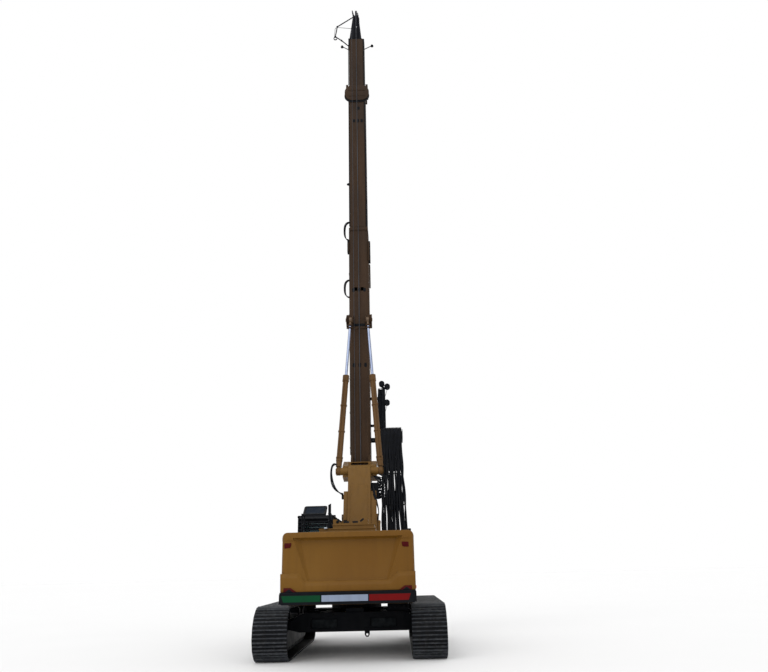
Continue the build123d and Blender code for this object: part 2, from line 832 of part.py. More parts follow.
with BuildPart() as roof_hatch:
    along = (cos(hatch_open), sin(hatch_open))
    across = (-sin(hatch_open), cos(hatch_open))
    lid = hatch_length + 30
    hatch_side = [
        (hatch_hinge[0] + along[0] * s + across[0] * t, hatch_hinge[1] + along[1] * s + across[1] * t)
        for s, t in ((0, -hatch_under), (lid, -hatch_under), (lid, hatch_thickness), (0, hatch_thickness))
    ]
    side_plate((hatch_left - hatch_lip, hatch_right + hatch_lip), hatch_side)
    cross_pin(hatch_hinge, hatch_under, (hatch_left - hatch_lip, hatch_right + hatch_lip))
roof_hatch.part.label = "roof_hatch"
export_step(roof_hatch.part, "parts/roof_hatch.step")

# Boom: hollow box from its foot to the ears, with the cross tube for the raker feet.
half_boom = boom_width / 2
ear_inner = half_boom + 5
ear_outer = ear_inner + 180
boom_rear_low = (boom_foot[0] - boom_foot_radius, boom_foot[1])
boom_outline = [
    boom_rear_low,
    (1985, 5000),
    (2120, 5090),
    (2560, 5090),
    (2690, 4900),
    (2400, 4000),
    (boom_foot[0] + boom_foot_radius, boom_foot[1]),
]
boom_hollow = [
    (1275, 2500),
    (1925, 4700),
    (2540, 4700),
    (2330, 4000),
    (1680, 2500),
]
ear_side = [
    (2080, 4720),
    (2620, 4640),
    (mast_pivot[0] + 120, mast_pivot[1] - 90),
    (mast_pivot[0], mast_pivot[1] + lug_radius),
    (mast_pivot[0] - 150, mast_pivot[1] + 140),
    (2060, 5060),
]
cross_tube_radius = 120
trunnion_radius = 70
foot_eye_half = 60
tube_end = raker_foot_x - foot_eye_half - swing_gap
trunnion_end = raker_foot_x + foot_eye_half + 10
lift_boss_end = lift_x - lift_eye_width / 2 - swing_gap
top_frame = (2240, 2560, 5085, 5214)
slot_length = 560
slot_height = 84
slot_middle = 5148

with BuildPart() as boom:
    side_plate((-half_boom, half_boom), boom_outline)
    cross_pin(boom_foot, boom_foot_radius, (-half_boom, half_boom))
    side_plate((-half_boom + boom_wall, half_boom - boom_wall), boom_hollow, Mode.SUBTRACT)
    for side in (-1, 1):
        ear = (side * (half_boom - 1), side * ear_outer)
        ear = (min(ear), max(ear))
        side_plate(ear, ear_side)
        cross_pin(mast_pivot, lug_radius, ear)
    cross_pin(raker_foot, cross_tube_radius, (-tube_end, tube_end))
    cross_pin(raker_foot, trunnion_radius, (-trunnion_end, trunnion_end))
    for side in (-1, 1):
        cap = (side * (raker_foot_x + foot_eye_half + swing_gap), side * (trunnion_end + 12))
        cross_pin(raker_foot, trunnion_radius + 25, (min(cap), max(cap)))
        stub = (side * (mast_width / 2 - lug_thickness - 20), side * ear_outer)
        cross_pin(mast_pivot, tilt_pin_radius, (min(stub), max(stub)))
    block((-ear_inner - 1, ear_inner + 1), top_frame[:2], top_frame[2:])
    with BuildSketch(Plane.XZ.offset(-reach(top_frame[0] - 40))):
        with Locations((0, slot_middle)):
            SlotOverall(slot_length, slot_height)
    extrude(amount=-(top_frame[1] - top_frame[0] + 90), mode=Mode.SUBTRACT)
    cross_pin(boom_foot, boom_pin_radius + pin_fit, (-half_boom - 1, half_boom + 1), Mode.SUBTRACT)
    for side in (-1, 1):
        boss = (side * (half_boom - boom_wall), side * lift_boss_end)
        cross_pin(lift_head, 150, (min(boss), max(boss)))
boom.part.label = "boom"
export_step(boom.part, "parts/boom.step")

# Lift cylinders, barrels on the frame's nose and rods to the boom.
lift_run = Vector(0, lift_head[0] - lift_foot[0], lift_head[1] - lift_foot[1])
lift_length = lift_run.length
lift_way = lift_run.normalized()
eye_half = lift_eye_width / 2

with BuildPart() as lift_barrels:
    for side in (-1, 1):
        start = Vector(side * lift_x, reach(lift_foot[0]), lift_foot[1])
        eye = (side * lift_x - eye_half, side * lift_x + eye_half)
        ring_along(start, lift_way, 52, 0, 60, 150)
        ring_along(start, lift_way, lift_barrel_radius, 0, 120, lift_barrel_length)
        ring_along(start, lift_way, lift_barrel_radius + 12, 0, lift_barrel_length - 130, lift_barrel_length)
        cross_pin(lift_foot, lift_eye_radius, eye)
        chamber = lift_barrel_radius - 22
        ring_along(start, lift_way, chamber, 0, 220, lift_barrel_length - 60, Mode.SUBTRACT)
        gland = lift_rod_radius + slide_fit
        ring_along(start, lift_way, gland, 0, 200, lift_barrel_length + 1, Mode.SUBTRACT)
        cross_pin(lift_foot, lift_pin_radius + pin_fit, (eye[0] - 1, eye[1] + 1), Mode.SUBTRACT)
lift_barrels.part.label = "lift_barrels"
export_step(lift_barrels.part, "parts/lift_barrels.step")

with BuildPart() as lift_rods:
    for side in (-1, 1):
        start = Vector(side * lift_x, reach(lift_foot[0]), lift_foot[1])
        eye = (side * lift_x - eye_half, side * lift_x + eye_half)
        ring_along(start, lift_way, lift_rod_radius, 0, 500, lift_length)
        cross_pin(lift_head, lift_eye_radius, eye)
lift_rods.part.label = "lift_rods"
export_step(lift_rods.part, "parts/lift_rods.step")

# Raker cylinders: both barrels swing on the cross tube, each rod slides along its own line.
raker_run = (raker_head[0] - raker_foot[0], raker_head[1] - raker_foot[1])
foot_bore = trunnion_radius + pin_fit
rod_start = 1500


def raker_line(side):
    start = Vector(side * raker_foot_x, reach(raker_foot[0]), raker_foot[1])
    end = Vector(side * raker_head_x, reach(raker_head[0]), raker_head[1])
    return start, (end - start).normalized(), (end - start).length


with BuildPart() as raker_barrels:
    for side in (-1, 1):
        start, way, length = raker_line(side)
        ring_along(start, way, foot_eye_half - 4, 0, 80, 200)
        ring_along(start, way, raker_barrel_radius, 0, 150, raker_barrel_length)
        ring_along(start, way, raker_barrel_radius + 14, 0, raker_barrel_length - 170, raker_barrel_length)
        ring_along(start, way, raker_barrel_radius + 10, 0, 330, 400)
        eye = (side * raker_foot_x - foot_eye_half, side * raker_foot_x + foot_eye_half)
        cross_pin(raker_foot, 125, eye)
        ring_along(start, way, raker_barrel_radius - 20, 0, 260, raker_barrel_length - 80, Mode.SUBTRACT)
        ring_along(start, way, raker_rod_radius + slide_fit, 0, 240, raker_barrel_length + 1, Mode.SUBTRACT)
        cross_pin(raker_foot, foot_bore, (eye[0] - 40, eye[1] + 40), Mode.SUBTRACT)
raker_barrels.part.label = "raker_barrels"
export_step(raker_barrels.part, "parts/raker_barrels.step")

rod_eye_half = 45

for name, side in (("raker_rod_left", -1), ("raker_rod_right", 1)):
    with BuildPart() as raker_rod:
        start, way, length = raker_line(side)
        ring_along(start, way, raker_rod_radius, 0, rod_start, length - 150)
        ring_along(start, way, rod_eye_half - 6, 0, length - 151, length)
        eye = (side * raker_head_x - rod_eye_half, side * raker_head_x + rod_eye_half)
        cross_pin(raker_head, raker_eye_radius, eye)
    raker_rod.part.label = name
    export_step(raker_rod.part, f"parts/{name}.step")

# Mast: three box sections with chamfered rear corners and two rails on the front.
mast_front = mast_rear + mast_depth
half_mast = mast_width / 2


def mast_section(width, z, wall):
    with BuildSketch(Plane.XY.offset(z[0])) as profile:
        with Locations((0, reach(span(mast_rear, mast_front)))):
            Rectangle(width, mast_depth)
        chamfer(profile.vertices().group_by(Axis.Y)[0], length=mast_chamfer)
        offset(amount=-wall, kind=Kind.INTERSECTION, mode=Mode.SUBTRACT)
    extrude(profile.sketch, amount=z[1] - z[0])


def mast_plate(width, z, grow=0):
    # closed plate across the box
    with BuildSketch(Plane.XY.offset(z[0])) as profile:
        with Locations((0, reach(span(mast_rear, mast_front)))):
            Rectangle(width + 2 * grow, mast_depth + 2 * grow)
        chamfer(profile.vertices().group_by(Axis.Y)[0], length=mast_chamfer)
    extrude(profile.sketch, amount=z[1] - z[0])


def mast_rails(z):
    for side in (-1, 1):
        limits = (side * (half_mast - rail_width), side * half_mast)
        block((min(limits), max(limits)), (mast_front - 1, mast_front + rail_depth), z)


band_low = 10300
band_plate = 30
clevis_inner = raker_head_x - rod_eye_half - clevis_gap
clevis_outer = raker_head_x + rod_eye_half + clevis_gap + clevis_sway
clevis_plate = 32
clevis_boss = 18

with BuildPart() as mast_lower:
    mast_section(mast_width, (mast_foot, mast_split), mast_wall)
    mast_plate(mast_width, (mast_foot, mast_foot + 30))
    mast_plate(mast_width, (mast_split - 60, mast_split), 25)
    mast_rails((mast_foot, mast_split))
    for side in (-1, 1):
        skin = (side * (half_mast - 1), side * (half_mast + band_plate))
        block((min(skin), max(skin)), (mast_rear + 90, mast_front - 90), (band_low, mast_split - 60))
        lug = (side * (half_mast - lug_thickness), side * half_mast)
        lug = (min(lug), max(lug))
        lug_shape = [
            (mast_rear + mast_chamfer + 5, mast_pivot[1] - 480),
            (mast_rear + mast_chamfer + 5, mast_pivot[1] + 480),
            (mast_pivot[0] + 20, mast_pivot[1] + lug_radius - 10),
            (mast_pivot[0] + 20, mast_pivot[1] - lug_radius + 10),
        ]
        side_plate(lug, lug_shape)
        cross_pin(mast_pivot, lug_radius, lug)
        cross_pin(mast_pivot, tilt_pin_radius + pin_fit, (lug[0] - 1, lug[1] + 1), Mode.SUBTRACT)
        ear_shape = [
            (mast_rear - 10, raker_head[1] - 240),
            (mast_rear - 10, raker_head[1] + 240),
            (raker_head[0] - 70, raker_head[1] + 90),
            (raker_head[0] - 70, raker_head[1] - 90),
        ]
        for inner, outer in (
            (clevis_inner - clevis_plate, clevis_inner),
            (clevis_outer, clevis_outer + clevis_plate),
        ):
            side_plate((min(side * inner, side * outer), max(side * inner, side * outer)), ear_shape)
        boss = (side * clevis_outer, side * (clevis_outer + clevis_plate + clevis_boss))
        cross_pin(raker_head, 62, (min(boss), max(boss)))
    back = clevis_outer + clevis_plate
    block((-back, back), (mast_rear - 28, mast_rear + 1), (raker_head[1] - 260, raker_head[1] + 260))
    for x in (-115, 115):
        block((x - 55, x + 55), (mast_rear - 1, mast_rear + mast_wall + 1), (11480, 11620), Mode.SUBTRACT)
mast_lower.part.label = "mast_lower"
export_step(mast_lower.part, "parts/mast_lower.step")

with BuildPart() as mast_upper:
    mast_section(mast_width, (mast_split, mast_fold), mast_wall)
    mast_plate(mast_width, (mast_split, mast_split + 60), 25)
    mast_plate(mast_width, (mast_fold - 60, mast_fold), 60)
    mast_rails((mast_split, mast_fold))
mast_upper.part.label = "mast_upper"
export_step(mast_upper.part, "parts/mast_upper.step")

with BuildPart() as mast_tip:
    mast_section(mast_width - 30, (mast_fold, mast_top), mast_wall)
    mast_plate(mast_width, (mast_fold, mast_fold + 60), 60)
    mast_plate(mast_width - 30, (mast_top - 30, mast_top))
    for side in (-1, 1):
        cheek = (side * (half_mast + 20), side * (half_mast + 110))
        block((min(cheek), max(cheek)), (mast_rear + 60, mast_front - 120), (mast_fold + 20, mast_fold + 330))
        web = (side * (half_mast - 40), side * (half_mast + 21))
        block((min(web), max(web)), (mast_rear + 120, mast_front - 180), (mast_fold + 59, mast_fold + 280))
mast_tip.part.label = "mast_tip"
export_step(mast_tip.part, "parts/mast_tip.step")

# Cathead: two cheeks with the rear and the front sheave between them.
rear_sheave = (main_rope_reach + rear_sheave_radius, sheave_top - rear_sheave_radius)
front_sheave = (kelly_reach - front_sheave_radius, sheave_top - front_sheave_radius)
sheave_half = 35
cheek_half = sheave_half + swing_gap
cathead_cheek = 30
groove = rope_radius + seat_gap

with BuildPart() as cathead:
    block((-250, 250), (mast_rear + 40, mast_front - 20), (mast_top, mast_top + 70))
    for side in (-1, 1):
        cheek = (side * cheek_half, side * (cheek_half + cathead_cheek))
        cheek_shape = [
            (mast_rear + 60, mast_top + 60),
            (mast_front - 60, mast_top + 60),
            (front_sheave[0] + 140, front_sheave[1] - 180),
            (front_sheave[0] + 160, front_sheave[1] + 130),
            (front_sheave[0] - 60, front_sheave[1] + 200),
            (rear_sheave[0] + 60, rear_sheave[1] + 170),
            (rear_sheave[0] - 140, rear_sheave[1] + 60),
        ]
        side_plate((min(cheek), max(cheek)), cheek_shape)
        outer = cheek_half + cathead_cheek
        gusset = [
            (side * (outer - 1), mast_top + 69),
            (side * 245, mast_top + 69),
            (side * (outer - 1), mast_top + 820),
        ]
        rear_plate((mast_rear + 200, mast_rear + 230), gusset)
        rear_plate((mast_front - 200, mast_front - 170), gusset)
        for place in (rear_sheave, front_sheave):
            hub = (side * cheek_half, side * (outer + 45))
            cross_pin(place, 70, (min(hub), max(hub)))
    cross_pin(rear_sheave, 45, (-cheek_half - 1, cheek_half + 1))
    cross_pin(front_sheave, 45, (-cheek_half - 1, cheek_half + 1))
    block((-cheek_half - 1, cheek_half + 1), (3400, 3700), (mast_top + 69, mast_top + 300))
cathead.part.label = "cathead"
export_step(cathead.part, "parts/cathead.step")

for name, place, radius in (
    ("rear_sheave", rear_sheave, rear_sheave_radius),
    ("front_sheave", front_sheave, front_sheave_radius),
):
    with BuildPart() as sheave:
        cross_pin(place, radius + 28, (-sheave_half, sheave_half))
        with BuildSketch(Plane(origin=(0, reach(place[0]), place[1]), x_dir=(1, 0, 0), z_dir=(0, 1, 0))):
            with Locations((0, -radius)):
                Circle(groove)
            with Locations((0, -radius - 30)):
                Rectangle(2 * groove, 60)
        revolve(axis=Axis((0, reach(place[0]), place[1]), (1, 0, 0)), mode=Mode.SUBTRACT)
        cross_pin(place, 45 + pin_fit, (-sheave_half - 1, sheave_half + 1), Mode.SUBTRACT)
        with BuildSketch(Plane.YZ.offset(-sheave_half)):
            with Locations((reach(place[0]), place[1])):
                with PolarLocations(radius * 0.58, 6):
                    Circle(radius * 0.17)
        extrude(amount=2 * sheave_half, mode=Mode.SUBTRACT)
    sheave.part.label = name
    export_step(sheave.part, f"parts/{name}.step")

# Main rope up the back of the mast and over both sheaves, then its fall to the kelly.
main_drum_place = (main_rope_reach - 200, 1900)
aux_drum_place = (aux_rope_reach - 170, 2650)
swivel_top = 13260

with BuildPart() as main_rope:
    with BuildLine(Plane.YZ) as rope_path:
        rise = Line(
            (reach(main_rope_reach), main_drum_place[1]),
            (reach(main_rope_reach), rear_sheave[1]),
        )
        first = TangentArc(rise @ 1, (reach(rear_sheave[0]), sheave_top), tangent=(0, 1))
        level = Line(first @ 1, (reach(front_sheave[0]), sheave_top))
        TangentArc(level @ 1, (reach(kelly_reach), front_sheave[1]), tangent=(1, 0))
    with BuildSketch(Plane(origin=rope_path.line @ 0, z_dir=rope_path.line % 0)):
        Circle(rope_radius)
    sweep(path=rope_path.line)
main_rope.part.label = "main_rope"
export_step(main_rope.part, "parts/main_rope.step")

with BuildPart() as rope_fall:
    post(0, kelly_reach, rope_radius, (swivel_top, front_sheave[1]))
rope_fall.part.label = "rope_fall"
export_step(rope_fall.part, "parts/rope_fall.step")

# Auxiliary rope up the mast and out along the service jib to its hook.
jib_tip = (-880, 3020, 23420)
aux_corner = (aux_rope_x, aux_rope_reach, 23350)

with BuildPart() as aux_rope:
    with BuildLine() as aux_path:
        FilletPolyline(
            (aux_rope_x, reach(aux_rope_reach), aux_drum_place[1]),
            (aux_corner[0], reach(aux_corner[1]), aux_corner[2]),
            (jib_tip[0], reach(jib_tip[1]), jib_tip[2] + 160),
            (jib_tip[0] - 40, reach(jib_tip[1]), jib_tip[2] - 420),
            radius=90,
        )
    with BuildSketch(Plane(origin=aux_path.line @ 0, z_dir=aux_path.line % 0)):
        Circle(aux_rope_radius)
    sweep(path=aux_path.line)
aux_rope.part.label = "aux_rope"
export_step(aux_rope.part, "parts/aux_rope.step")

# Winch frame on the back of the mast's foot, with its two drums.
winch_plate = (290, 320)
drum_shaft = 45
winch_back = mast_rear + winch_plate[0] - half_mast + mast_chamfer - seat_gap

with BuildPart() as winch_frame:
    for side in (-1, 1):
        plate = (side * winch_plate[0], side * winch_plate[1])
        plate = (min(plate), max(plate))
        frame_side = [
            (winch_back, 1560),
            (2520, 1620),
            (2470, 1900),
            (2500, 2260),
            (2530, 2900),
            (winch_back, 2990),
        ]
        side_plate(plate, frame_side)
        motor = (side * (winch_plate[1] + 12), side * (winch_plate[1] + 130))
        cross_pin(main_drum_place, 120, (min(motor), max(motor)))
        cover = (side * (winch_plate[1] - 1), side * (winch_plate[1] + 13))
        cross_pin(main_drum_place, 150, (min(cover), max(cover)))
        for place in (main_drum_place, aux_drum_place):
            bore = (side * (winch_plate[0] - 1), side * (winch_plate[1] + 1))
            cross_pin(place, drum_shaft + pin_fit, (min(bore), max(bore)), Mode.SUBTRACT)
    for place in ((2545, 1680), (2580, 2880)):
        cross_pin(place, 24, (-winch_plate[0] - 1, winch_plate[0] + 1))
winch_frame.part.label = "winch_frame"
export_step(winch_frame.part, "parts/winch_frame.step")

for name, place, pitch_radius, rope, half, rim in (
    ("main_drum", main_drum_place, 200, rope_radius, 245, 245),
    ("aux_drum", aux_drum_place, 170, aux_rope_radius, 225, 184),
):
    with BuildPart() as drum:
        cross_pin(place, pitch_radius - rope - seat_gap, (-half, half))
        for side in (-1, 1):
            flange = (side * (half - 1), side * (half + 22))
            cross_pin(place, rim, (min(flange), max(flange)))
        cross_pin(place, drum_shaft, (-winch_plate[1] + 4, winch_plate[1] - 4))
    drum.part.label = name
    export_step(drum.part, f"parts/{name}.step")

# Crowd cylinder between the front rails: barrel on the mast, rod on the sledge.
crowd_y = mast_front + crowd_radius + 15
crowd_low = 6500
crowd_high = 11500
crowd_gland = 140
crowd_rod_radius = 50
sledge_high = 3450

with BuildPart() as crowd_cylinder:
    clamp = crowd_radius + 10
    for low in (crowd_low + 200, crowd_high - 300):
        block((-clamp, clamp), (mast_front, crowd_y + clamp), (low, low + 180))
    post(0, crowd_y, crowd_radius, (crowd_low, crowd_high))
    post(0, crowd_y, crowd_radius + 12, (crowd_low, crowd_low + crowd_gland))
    chamber = (crowd_low + crowd_gland, crowd_high - 60)
    post(0, crowd_y, crowd_radius - 16, chamber, Mode.SUBTRACT)
    post(0, crowd_y, crowd_rod_radius + slide_fit, (crowd_low - 1, chamber[0] + 1), Mode.SUBTRACT)
crowd_cylinder.part.label = "crowd_cylinder"
export_step(crowd_cylinder.part, "parts/crowd_cylinder.step")

with BuildPart() as crowd_rod:
    post(0, crowd_y, crowd_rod_radius, (sledge_high + seat_gap, 8000))
crowd_rod.part.label = "crowd_rod"
export_step(crowd_rod.part, "parts/crowd_rod.step")

# Rotary drive on its sledge, with the drive sleeve turning inside it.
sleeve_radius = 254
sleeve_bore = kelly_radius + swing_gap
key_width = 40
key_height = 25
key_slot = key_width + 2 * swing_gap
shoe_back = mast_front + 25
plate_back = crowd_y + crowd_radius + swing_gap + 12
plate_front = plate_back + 40
gearbox_high = gearbox_low + gearbox_height


def rail_shoes(z):
    # pads outside and ahead of both rails, joined by the plate across them
    block((-half_mast - 66, half_mast + 66), (plate_back, plate_front), z)
    for side in (-1, 1):
        outer = (side * (half_mast + swing_gap), side * (half_mast + 66))
        block((min(outer), max(outer)), (shoe_back, plate_back + 1), z)
        face = (side * (half_mast - rail_width + swing_gap), side * (half_mast + swing_gap + 1))
        block((min(face), max(face)), (mast_front + rail_depth + swing_gap, plate_back + 1), z)


with BuildPart() as rotary:
    rail_shoes((gearbox_low - 150, sledge_high - 60))
    block((-110, 110), (mast_front + 20, plate_back + 1), (sledge_high - 140, sledge_high))
    post(0, kelly_reach, gearbox_radius - 30, (gearbox_low, gearbox_high))
    block((-300, 300), (plate_front - 1, kelly_reach), (gearbox_low, gearbox_high))
    post(0, kelly_reach, gearbox_radius, (gearbox_low + 60, gearbox_low + 120))
    for x, y in ((-330, 4230), (330, 4230), (-330, 4810), (330, 4810)):
        post(x, y, 95, (gearbox_high - 1, gearbox_high + 330))
        post(x, y, 60, (gearbox_high + 329, gearbox_high + 400))
    post(0, kelly_reach, sleeve_radius + swing_gap, (gearbox_low - 1, gearbox_high + 1), Mode.SUBTRACT)
rotary.part.label = "rotary"
export_step(rotary.part, "parts/rotary.step")

sleeve_low = gearbox_low - 80
sleeve_collar = 56
sleeve_high = gearbox_high + seat_gap + sleeve_collar
flange_holes = 12
flange_circle = 290

with BuildPart() as drive_sleeve:
    post(0, kelly_reach, sleeve_radius, (sleeve_low, sleeve_high))
    post(0, kelly_reach, sleeve_radius + 70, (sleeve_low, sleeve_low + 60))
    post(0, kelly_reach, sleeve_radius + 34, (sleeve_high - sleeve_collar, sleeve_high))
    post(0, kelly_reach, sleeve_bore, (sleeve_low - 1, sleeve_high + 1), Mode.SUBTRACT)
    with BuildSketch(Plane.XY.offset(sleeve_low - 1)):
        with Locations((0, reach(kelly_reach))):
            with PolarLocations(sleeve_bore - 10, 3):
                Rectangle(2 * (key_height + 10), key_slot)
            with PolarLocations(flange_circle, flange_holes, start_angle=15):
                Circle(15)
    extrude(amount=sleeve_high - sleeve_low + 2, mode=Mode.SUBTRACT)
drive_sleeve.part.label = "drive_sleeve"
export_step(drive_sleeve.part, "parts/drive_sleeve.step")

# Telescopic kelly bar: guide frame with the swivel, outer tube with keys, inner tube with its stub.
guide_low = 12300
guide_high = 12590
collar_high = 12640

with BuildPart() as kelly_guide:
    rail_shoes((guide_low - 300, guide_high + 300))
    for z in ((guide_low, guide_low + 50), (guide_high - 50, guide_high)):
        block((-260, 260), (plate_front - 1, kelly_reach), z)
        post(0, kelly_reach, 260, z)
    for side in (-1, 1):
        web = (side * 225, side * 255)
        block((min(web), max(web)), (plate_front - 1, kelly_reach), (guide_low, guide_high))
        stay = (side * 285, side * 315)
        block((min(stay), max(stay)), (kelly_reach - 60, kelly_reach + 60), (guide_low, collar_high + 160))
        foot = (side * 250, side * 316)
        block((min(foot), max(foot)), (kelly_reach - 60, kelly_reach + 60), (guide_low, guide_low + 50))
        block((min(foot), max(foot)), (kelly_reach - 60, kelly_reach + 60), (guide_high - 50, guide_high))
    block((-315, 315), (kelly_reach - 60, kelly_reach + 60), (collar_high + 100, collar_high + 160))
    post(0, kelly_reach, 110, (collar_high + seat_gap, swivel_top - 180))
    post(0, kelly_reach, 60, (swivel_top - 181, swivel_top))
    post(0, kelly_reach, kelly_radius + swing_gap, (guide_low - 1, guide_high + 1), Mode.SUBTRACT)
kelly_guide.part.label = "kelly_guide"
export_step(kelly_guide.part, "parts/kelly_guide.step")

with BuildPart() as kelly_outer:
    post(0, kelly_reach, kelly_radius, (kelly_low, collar_high))
    post(0, kelly_reach, kelly_radius + 40, (guide_high + seat_gap, collar_high))
    with BuildSketch(Plane.XY.offset(kelly_low + 60)):
        with Locations((0, reach(kelly_reach))):
            with PolarLocations(kelly_radius + key_height / 2 - 5, 3):
                Rectangle(key_height + 10, key_width)
    extrude(amount=guide_low - 60 - kelly_low - 60)
    post(0, kelly_reach, kelly_radius - kelly_wall, (kelly_low - 1, collar_high + 1), Mode.SUBTRACT)
kelly_outer.part.label = "kelly_outer"
export_step(kelly_outer.part, "parts/kelly_outer.step")

stub_pin_radius = 32
stub_pin_rise = 110
stub_flange = (kelly_low - seat_gap - 60, kelly_low - seat_gap)

with BuildPart() as kelly_inner:
    post(0, kelly_reach, inner_kelly_radius, (stub_flange[1] - 1, guide_high - 200))
    post(0, kelly_reach, inner_kelly_radius - 22, (stub_flange[1], guide_high - 199), Mode.SUBTRACT)
    post(0, kelly_reach, kelly_radius - 8, stub_flange)
    with BuildSketch(Plane.XY.offset(stub_low)):
        with Locations((0, reach(kelly_reach))):
            RectangleRounded(stub_size, stub_size, 20)
    extrude(amount=stub_flange[0] + 1 - stub_low)
    through = (-stub_size / 2 - 1, stub_size / 2 + 1)
    cross_pin((kelly_reach, stub_low + stub_pin_rise), stub_pin_radius, through, Mode.SUBTRACT)
kelly_inner.part.label = "kelly_inner"
export_step(kelly_inner.part, "parts/kelly_inner.step")

# Hose saddle on the right of the mast, with the hoses that hang from it to a lower bulkhead.
saddle_radius = 330
saddle_y = 3380
saddle_z = 6060
saddle_x = (660, 1400)
saddle_wall = 18
bulkhead_z = 2380
hose_radius = 18
hose_count = 12
hose_rear_y = saddle_y - saddle_radius - hose_radius - seat_gap
hose_front_y = saddle_y + saddle_radius + hose_radius + seat_gap

with BuildPart() as hose_saddle:
    with BuildSketch(Plane.YZ.offset(saddle_x[0])):
        with Locations((reach(saddle_y), saddle_z)):
            Circle(saddle_radius)
            Circle(saddle_radius - saddle_wall, mode=Mode.SUBTRACT)
            with Locations((0, -saddle_radius)):
                Rectangle(2 * saddle_radius + 2, 2 * saddle_radius, mode=Mode.SUBTRACT)
    extrude(amount=saddle_x[1] - saddle_x[0])
    for x in saddle_x:
        rim = (x - 12, x + 12)
        with BuildSketch(Plane.YZ.offset(rim[0])):
            with Locations((reach(saddle_y), saddle_z)):
                Circle(saddle_radius + 60)
                with Locations((0, -saddle_radius)):
                    Rectangle(2 * saddle_radius + 122, 2 * saddle_radius, mode=Mode.SUBTRACT)
        extrude(amount=rim[1] - rim[0])
    for y in (saddle_y - 240, saddle_y + 180):
        block((half_mast, saddle_x[1]), (y, y + 60), (saddle_z, saddle_z + 80))
    block((half_mast, 1600), (hose_rear_y - 45, hose_rear_y + 60), (bulkhead_z - 70, bulkhead_z))
    block((half_mast, 400), (hose_rear_y + 59, mast_front - 100), (bulkhead_z - 170, bulkhead_z + 100))
    block((half_mast, saddle_x[1]), (hose_front_y - 40, hose_front_y + 45), (5100, 5170))
    block((half_mast, 400), (mast_front - 300, hose_front_y + 45), (5060, 5210))
hose_saddle.part.label = "hose_saddle"
export_step(hose_saddle.part, "parts/hose_saddle.step")

with BuildPart() as hose_curtain:
    hose_pitch = (saddle_x[1] - saddle_x[0] - 100) / (hose_count - 1)
    for number in range(hose_count):
        top_x = saddle_x[0] + 50 + number * hose_pitch
        low_x = top_x + 130 * number / (hose_count - 1)
        arc_radius = saddle_radius + hose_radius + seat_gap
        with BuildLine() as hose_path:
            front = Line((top_x, reach(hose_front_y), 5170), (top_x, reach(hose_front_y), saddle_z))
            over = ThreePointArc(
                front @ 1,
                (top_x, reach(saddle_y), saddle_z + arc_radius),
                (top_x, reach(hose_rear_y), saddle_z),
            )
            drop = Line(over @ 1, (top_x, reach(hose_rear_y), saddle_z - 600))
            lean = Vector(low_x - top_x, 0, bulkhead_z - saddle_z + 600).normalized()
            bend_end = Vector(top_x, reach(hose_rear_y), saddle_z - 660) + lean * 60
            if number:
                TangentArc(drop @ 1, bend_end, tangent=(0, 0, -1))
            else:
                Line(drop @ 1, bend_end)
            Line(bend_end, (low_x, reach(hose_rear_y), bulkhead_z + 3 * seat_gap))
        with BuildSketch(Plane(origin=hose_path.line @ 0, z_dir=hose_path.line % 0)):
            Circle(hose_radius)
        sweep(path=hose_path.line)
hose_curtain.part.label = "hose_curtain"
export_step(hose_curtain.part, "parts/hose_curtain.step")

# Post with three work lamps above the saddle.
lamp_post_x = 800
lamp_post_high = 7950
lamp_places = ((-60, 8060), (130, 7960), (110, 7390))

with BuildPart() as lamp_post:
    post_span = (saddle_z + saddle_radius + 60, lamp_post_high)
    block((lamp_post_x - 55, lamp_post_x + 55), (saddle_y - 50, saddle_y + 50), post_span)
    block((half_mast, lamp_post_x), (saddle_y - 30, saddle_y + 30), (6560, 6640))
    block((half_mast, lamp_post_x), (saddle_y - 30, saddle_y + 30), (7500, 7600))
    for x, z in lamp_places:
        bar((lamp_post_x, saddle_y - 20, z - 120), (lamp_post_x + x, saddle_y - 60, z), 22)
        with BuildSketch(Plane.XZ.offset(-reach(saddle_y - 130))):
            with Locations((lamp_post_x + x, z)):
                Circle(80)
        extrude(amount=-110)
lamp_post.part.label = "lamp_post"
export_step(lamp_post.part, "parts/lamp_post.step")

# Small fittings on the mast: junction boxes, a stub, and two ball lamps on stalks.
with BuildPart() as mast_fittings:
    skin = half_mast + band_plate
    block((skin, skin + 70), (mast_rear + 60, mast_rear + 260), (12670, 13500))
    block((-skin - 60, -skin), (mast_rear + 60, mast_rear + 240), (13060, 13560))
    block((-half_mast - 70, -half_mast), (mast_rear + 100, mast_rear + 160), (15960, 16040))
    for side, length in ((-1, 270), (1, 320)):
        start = (side * (half_mast - 15 + 7), mast_rear + 160, 22500)
        end = (side * (half_mast + length), mast_rear + 120, 22640)
        bar(start, end, 16)
        with Locations((end[0], reach(end[1]), end[2])):
            Sphere(52)
mast_fittings.part.label = "mast_fittings"
export_step(mast_fittings.part, "parts/mast_fittings.step")

# Service jib on the left of the cathead, with the auxiliary pulley.
jib_radius = 26

with BuildPart() as service_jib:
    jib_root = -cheek_half - cathead_cheek
    knuckle = (-800, 3080, 23700)
    elbow = (-420, 3120, 23130)
    head = (jib_tip[0] + 70, jib_tip[1] + 30, jib_tip[2] + 20)
    bar((jib_root - 14, 3440, 23900), knuckle, jib_radius)
    bar((jib_root - seat_gap, 3440, 23900), (jib_root - 30, 3440, 23900), 45)
    bar(knuckle, head, jib_radius)
    block((-300, -250 - seat_gap), (3100, 3220), (mast_top + 5, mast_top + 65))
    bar((-290, 3160, mast_top + 50), elbow, jib_radius)
    bar(elbow, head, jib_radius)
    for place in (knuckle, elbow):
        with Locations((place[0], reach(place[1]), place[2])):
            Sphere(42)
    with BuildSketch(Plane.XZ.offset(-reach(jib_tip[1] + 60))):
        with Locations((jib_tip[0] + 60, jib_tip[2])):
            Circle(75)
    extrude(amount=40)
service_jib.part.label = "service_jib"
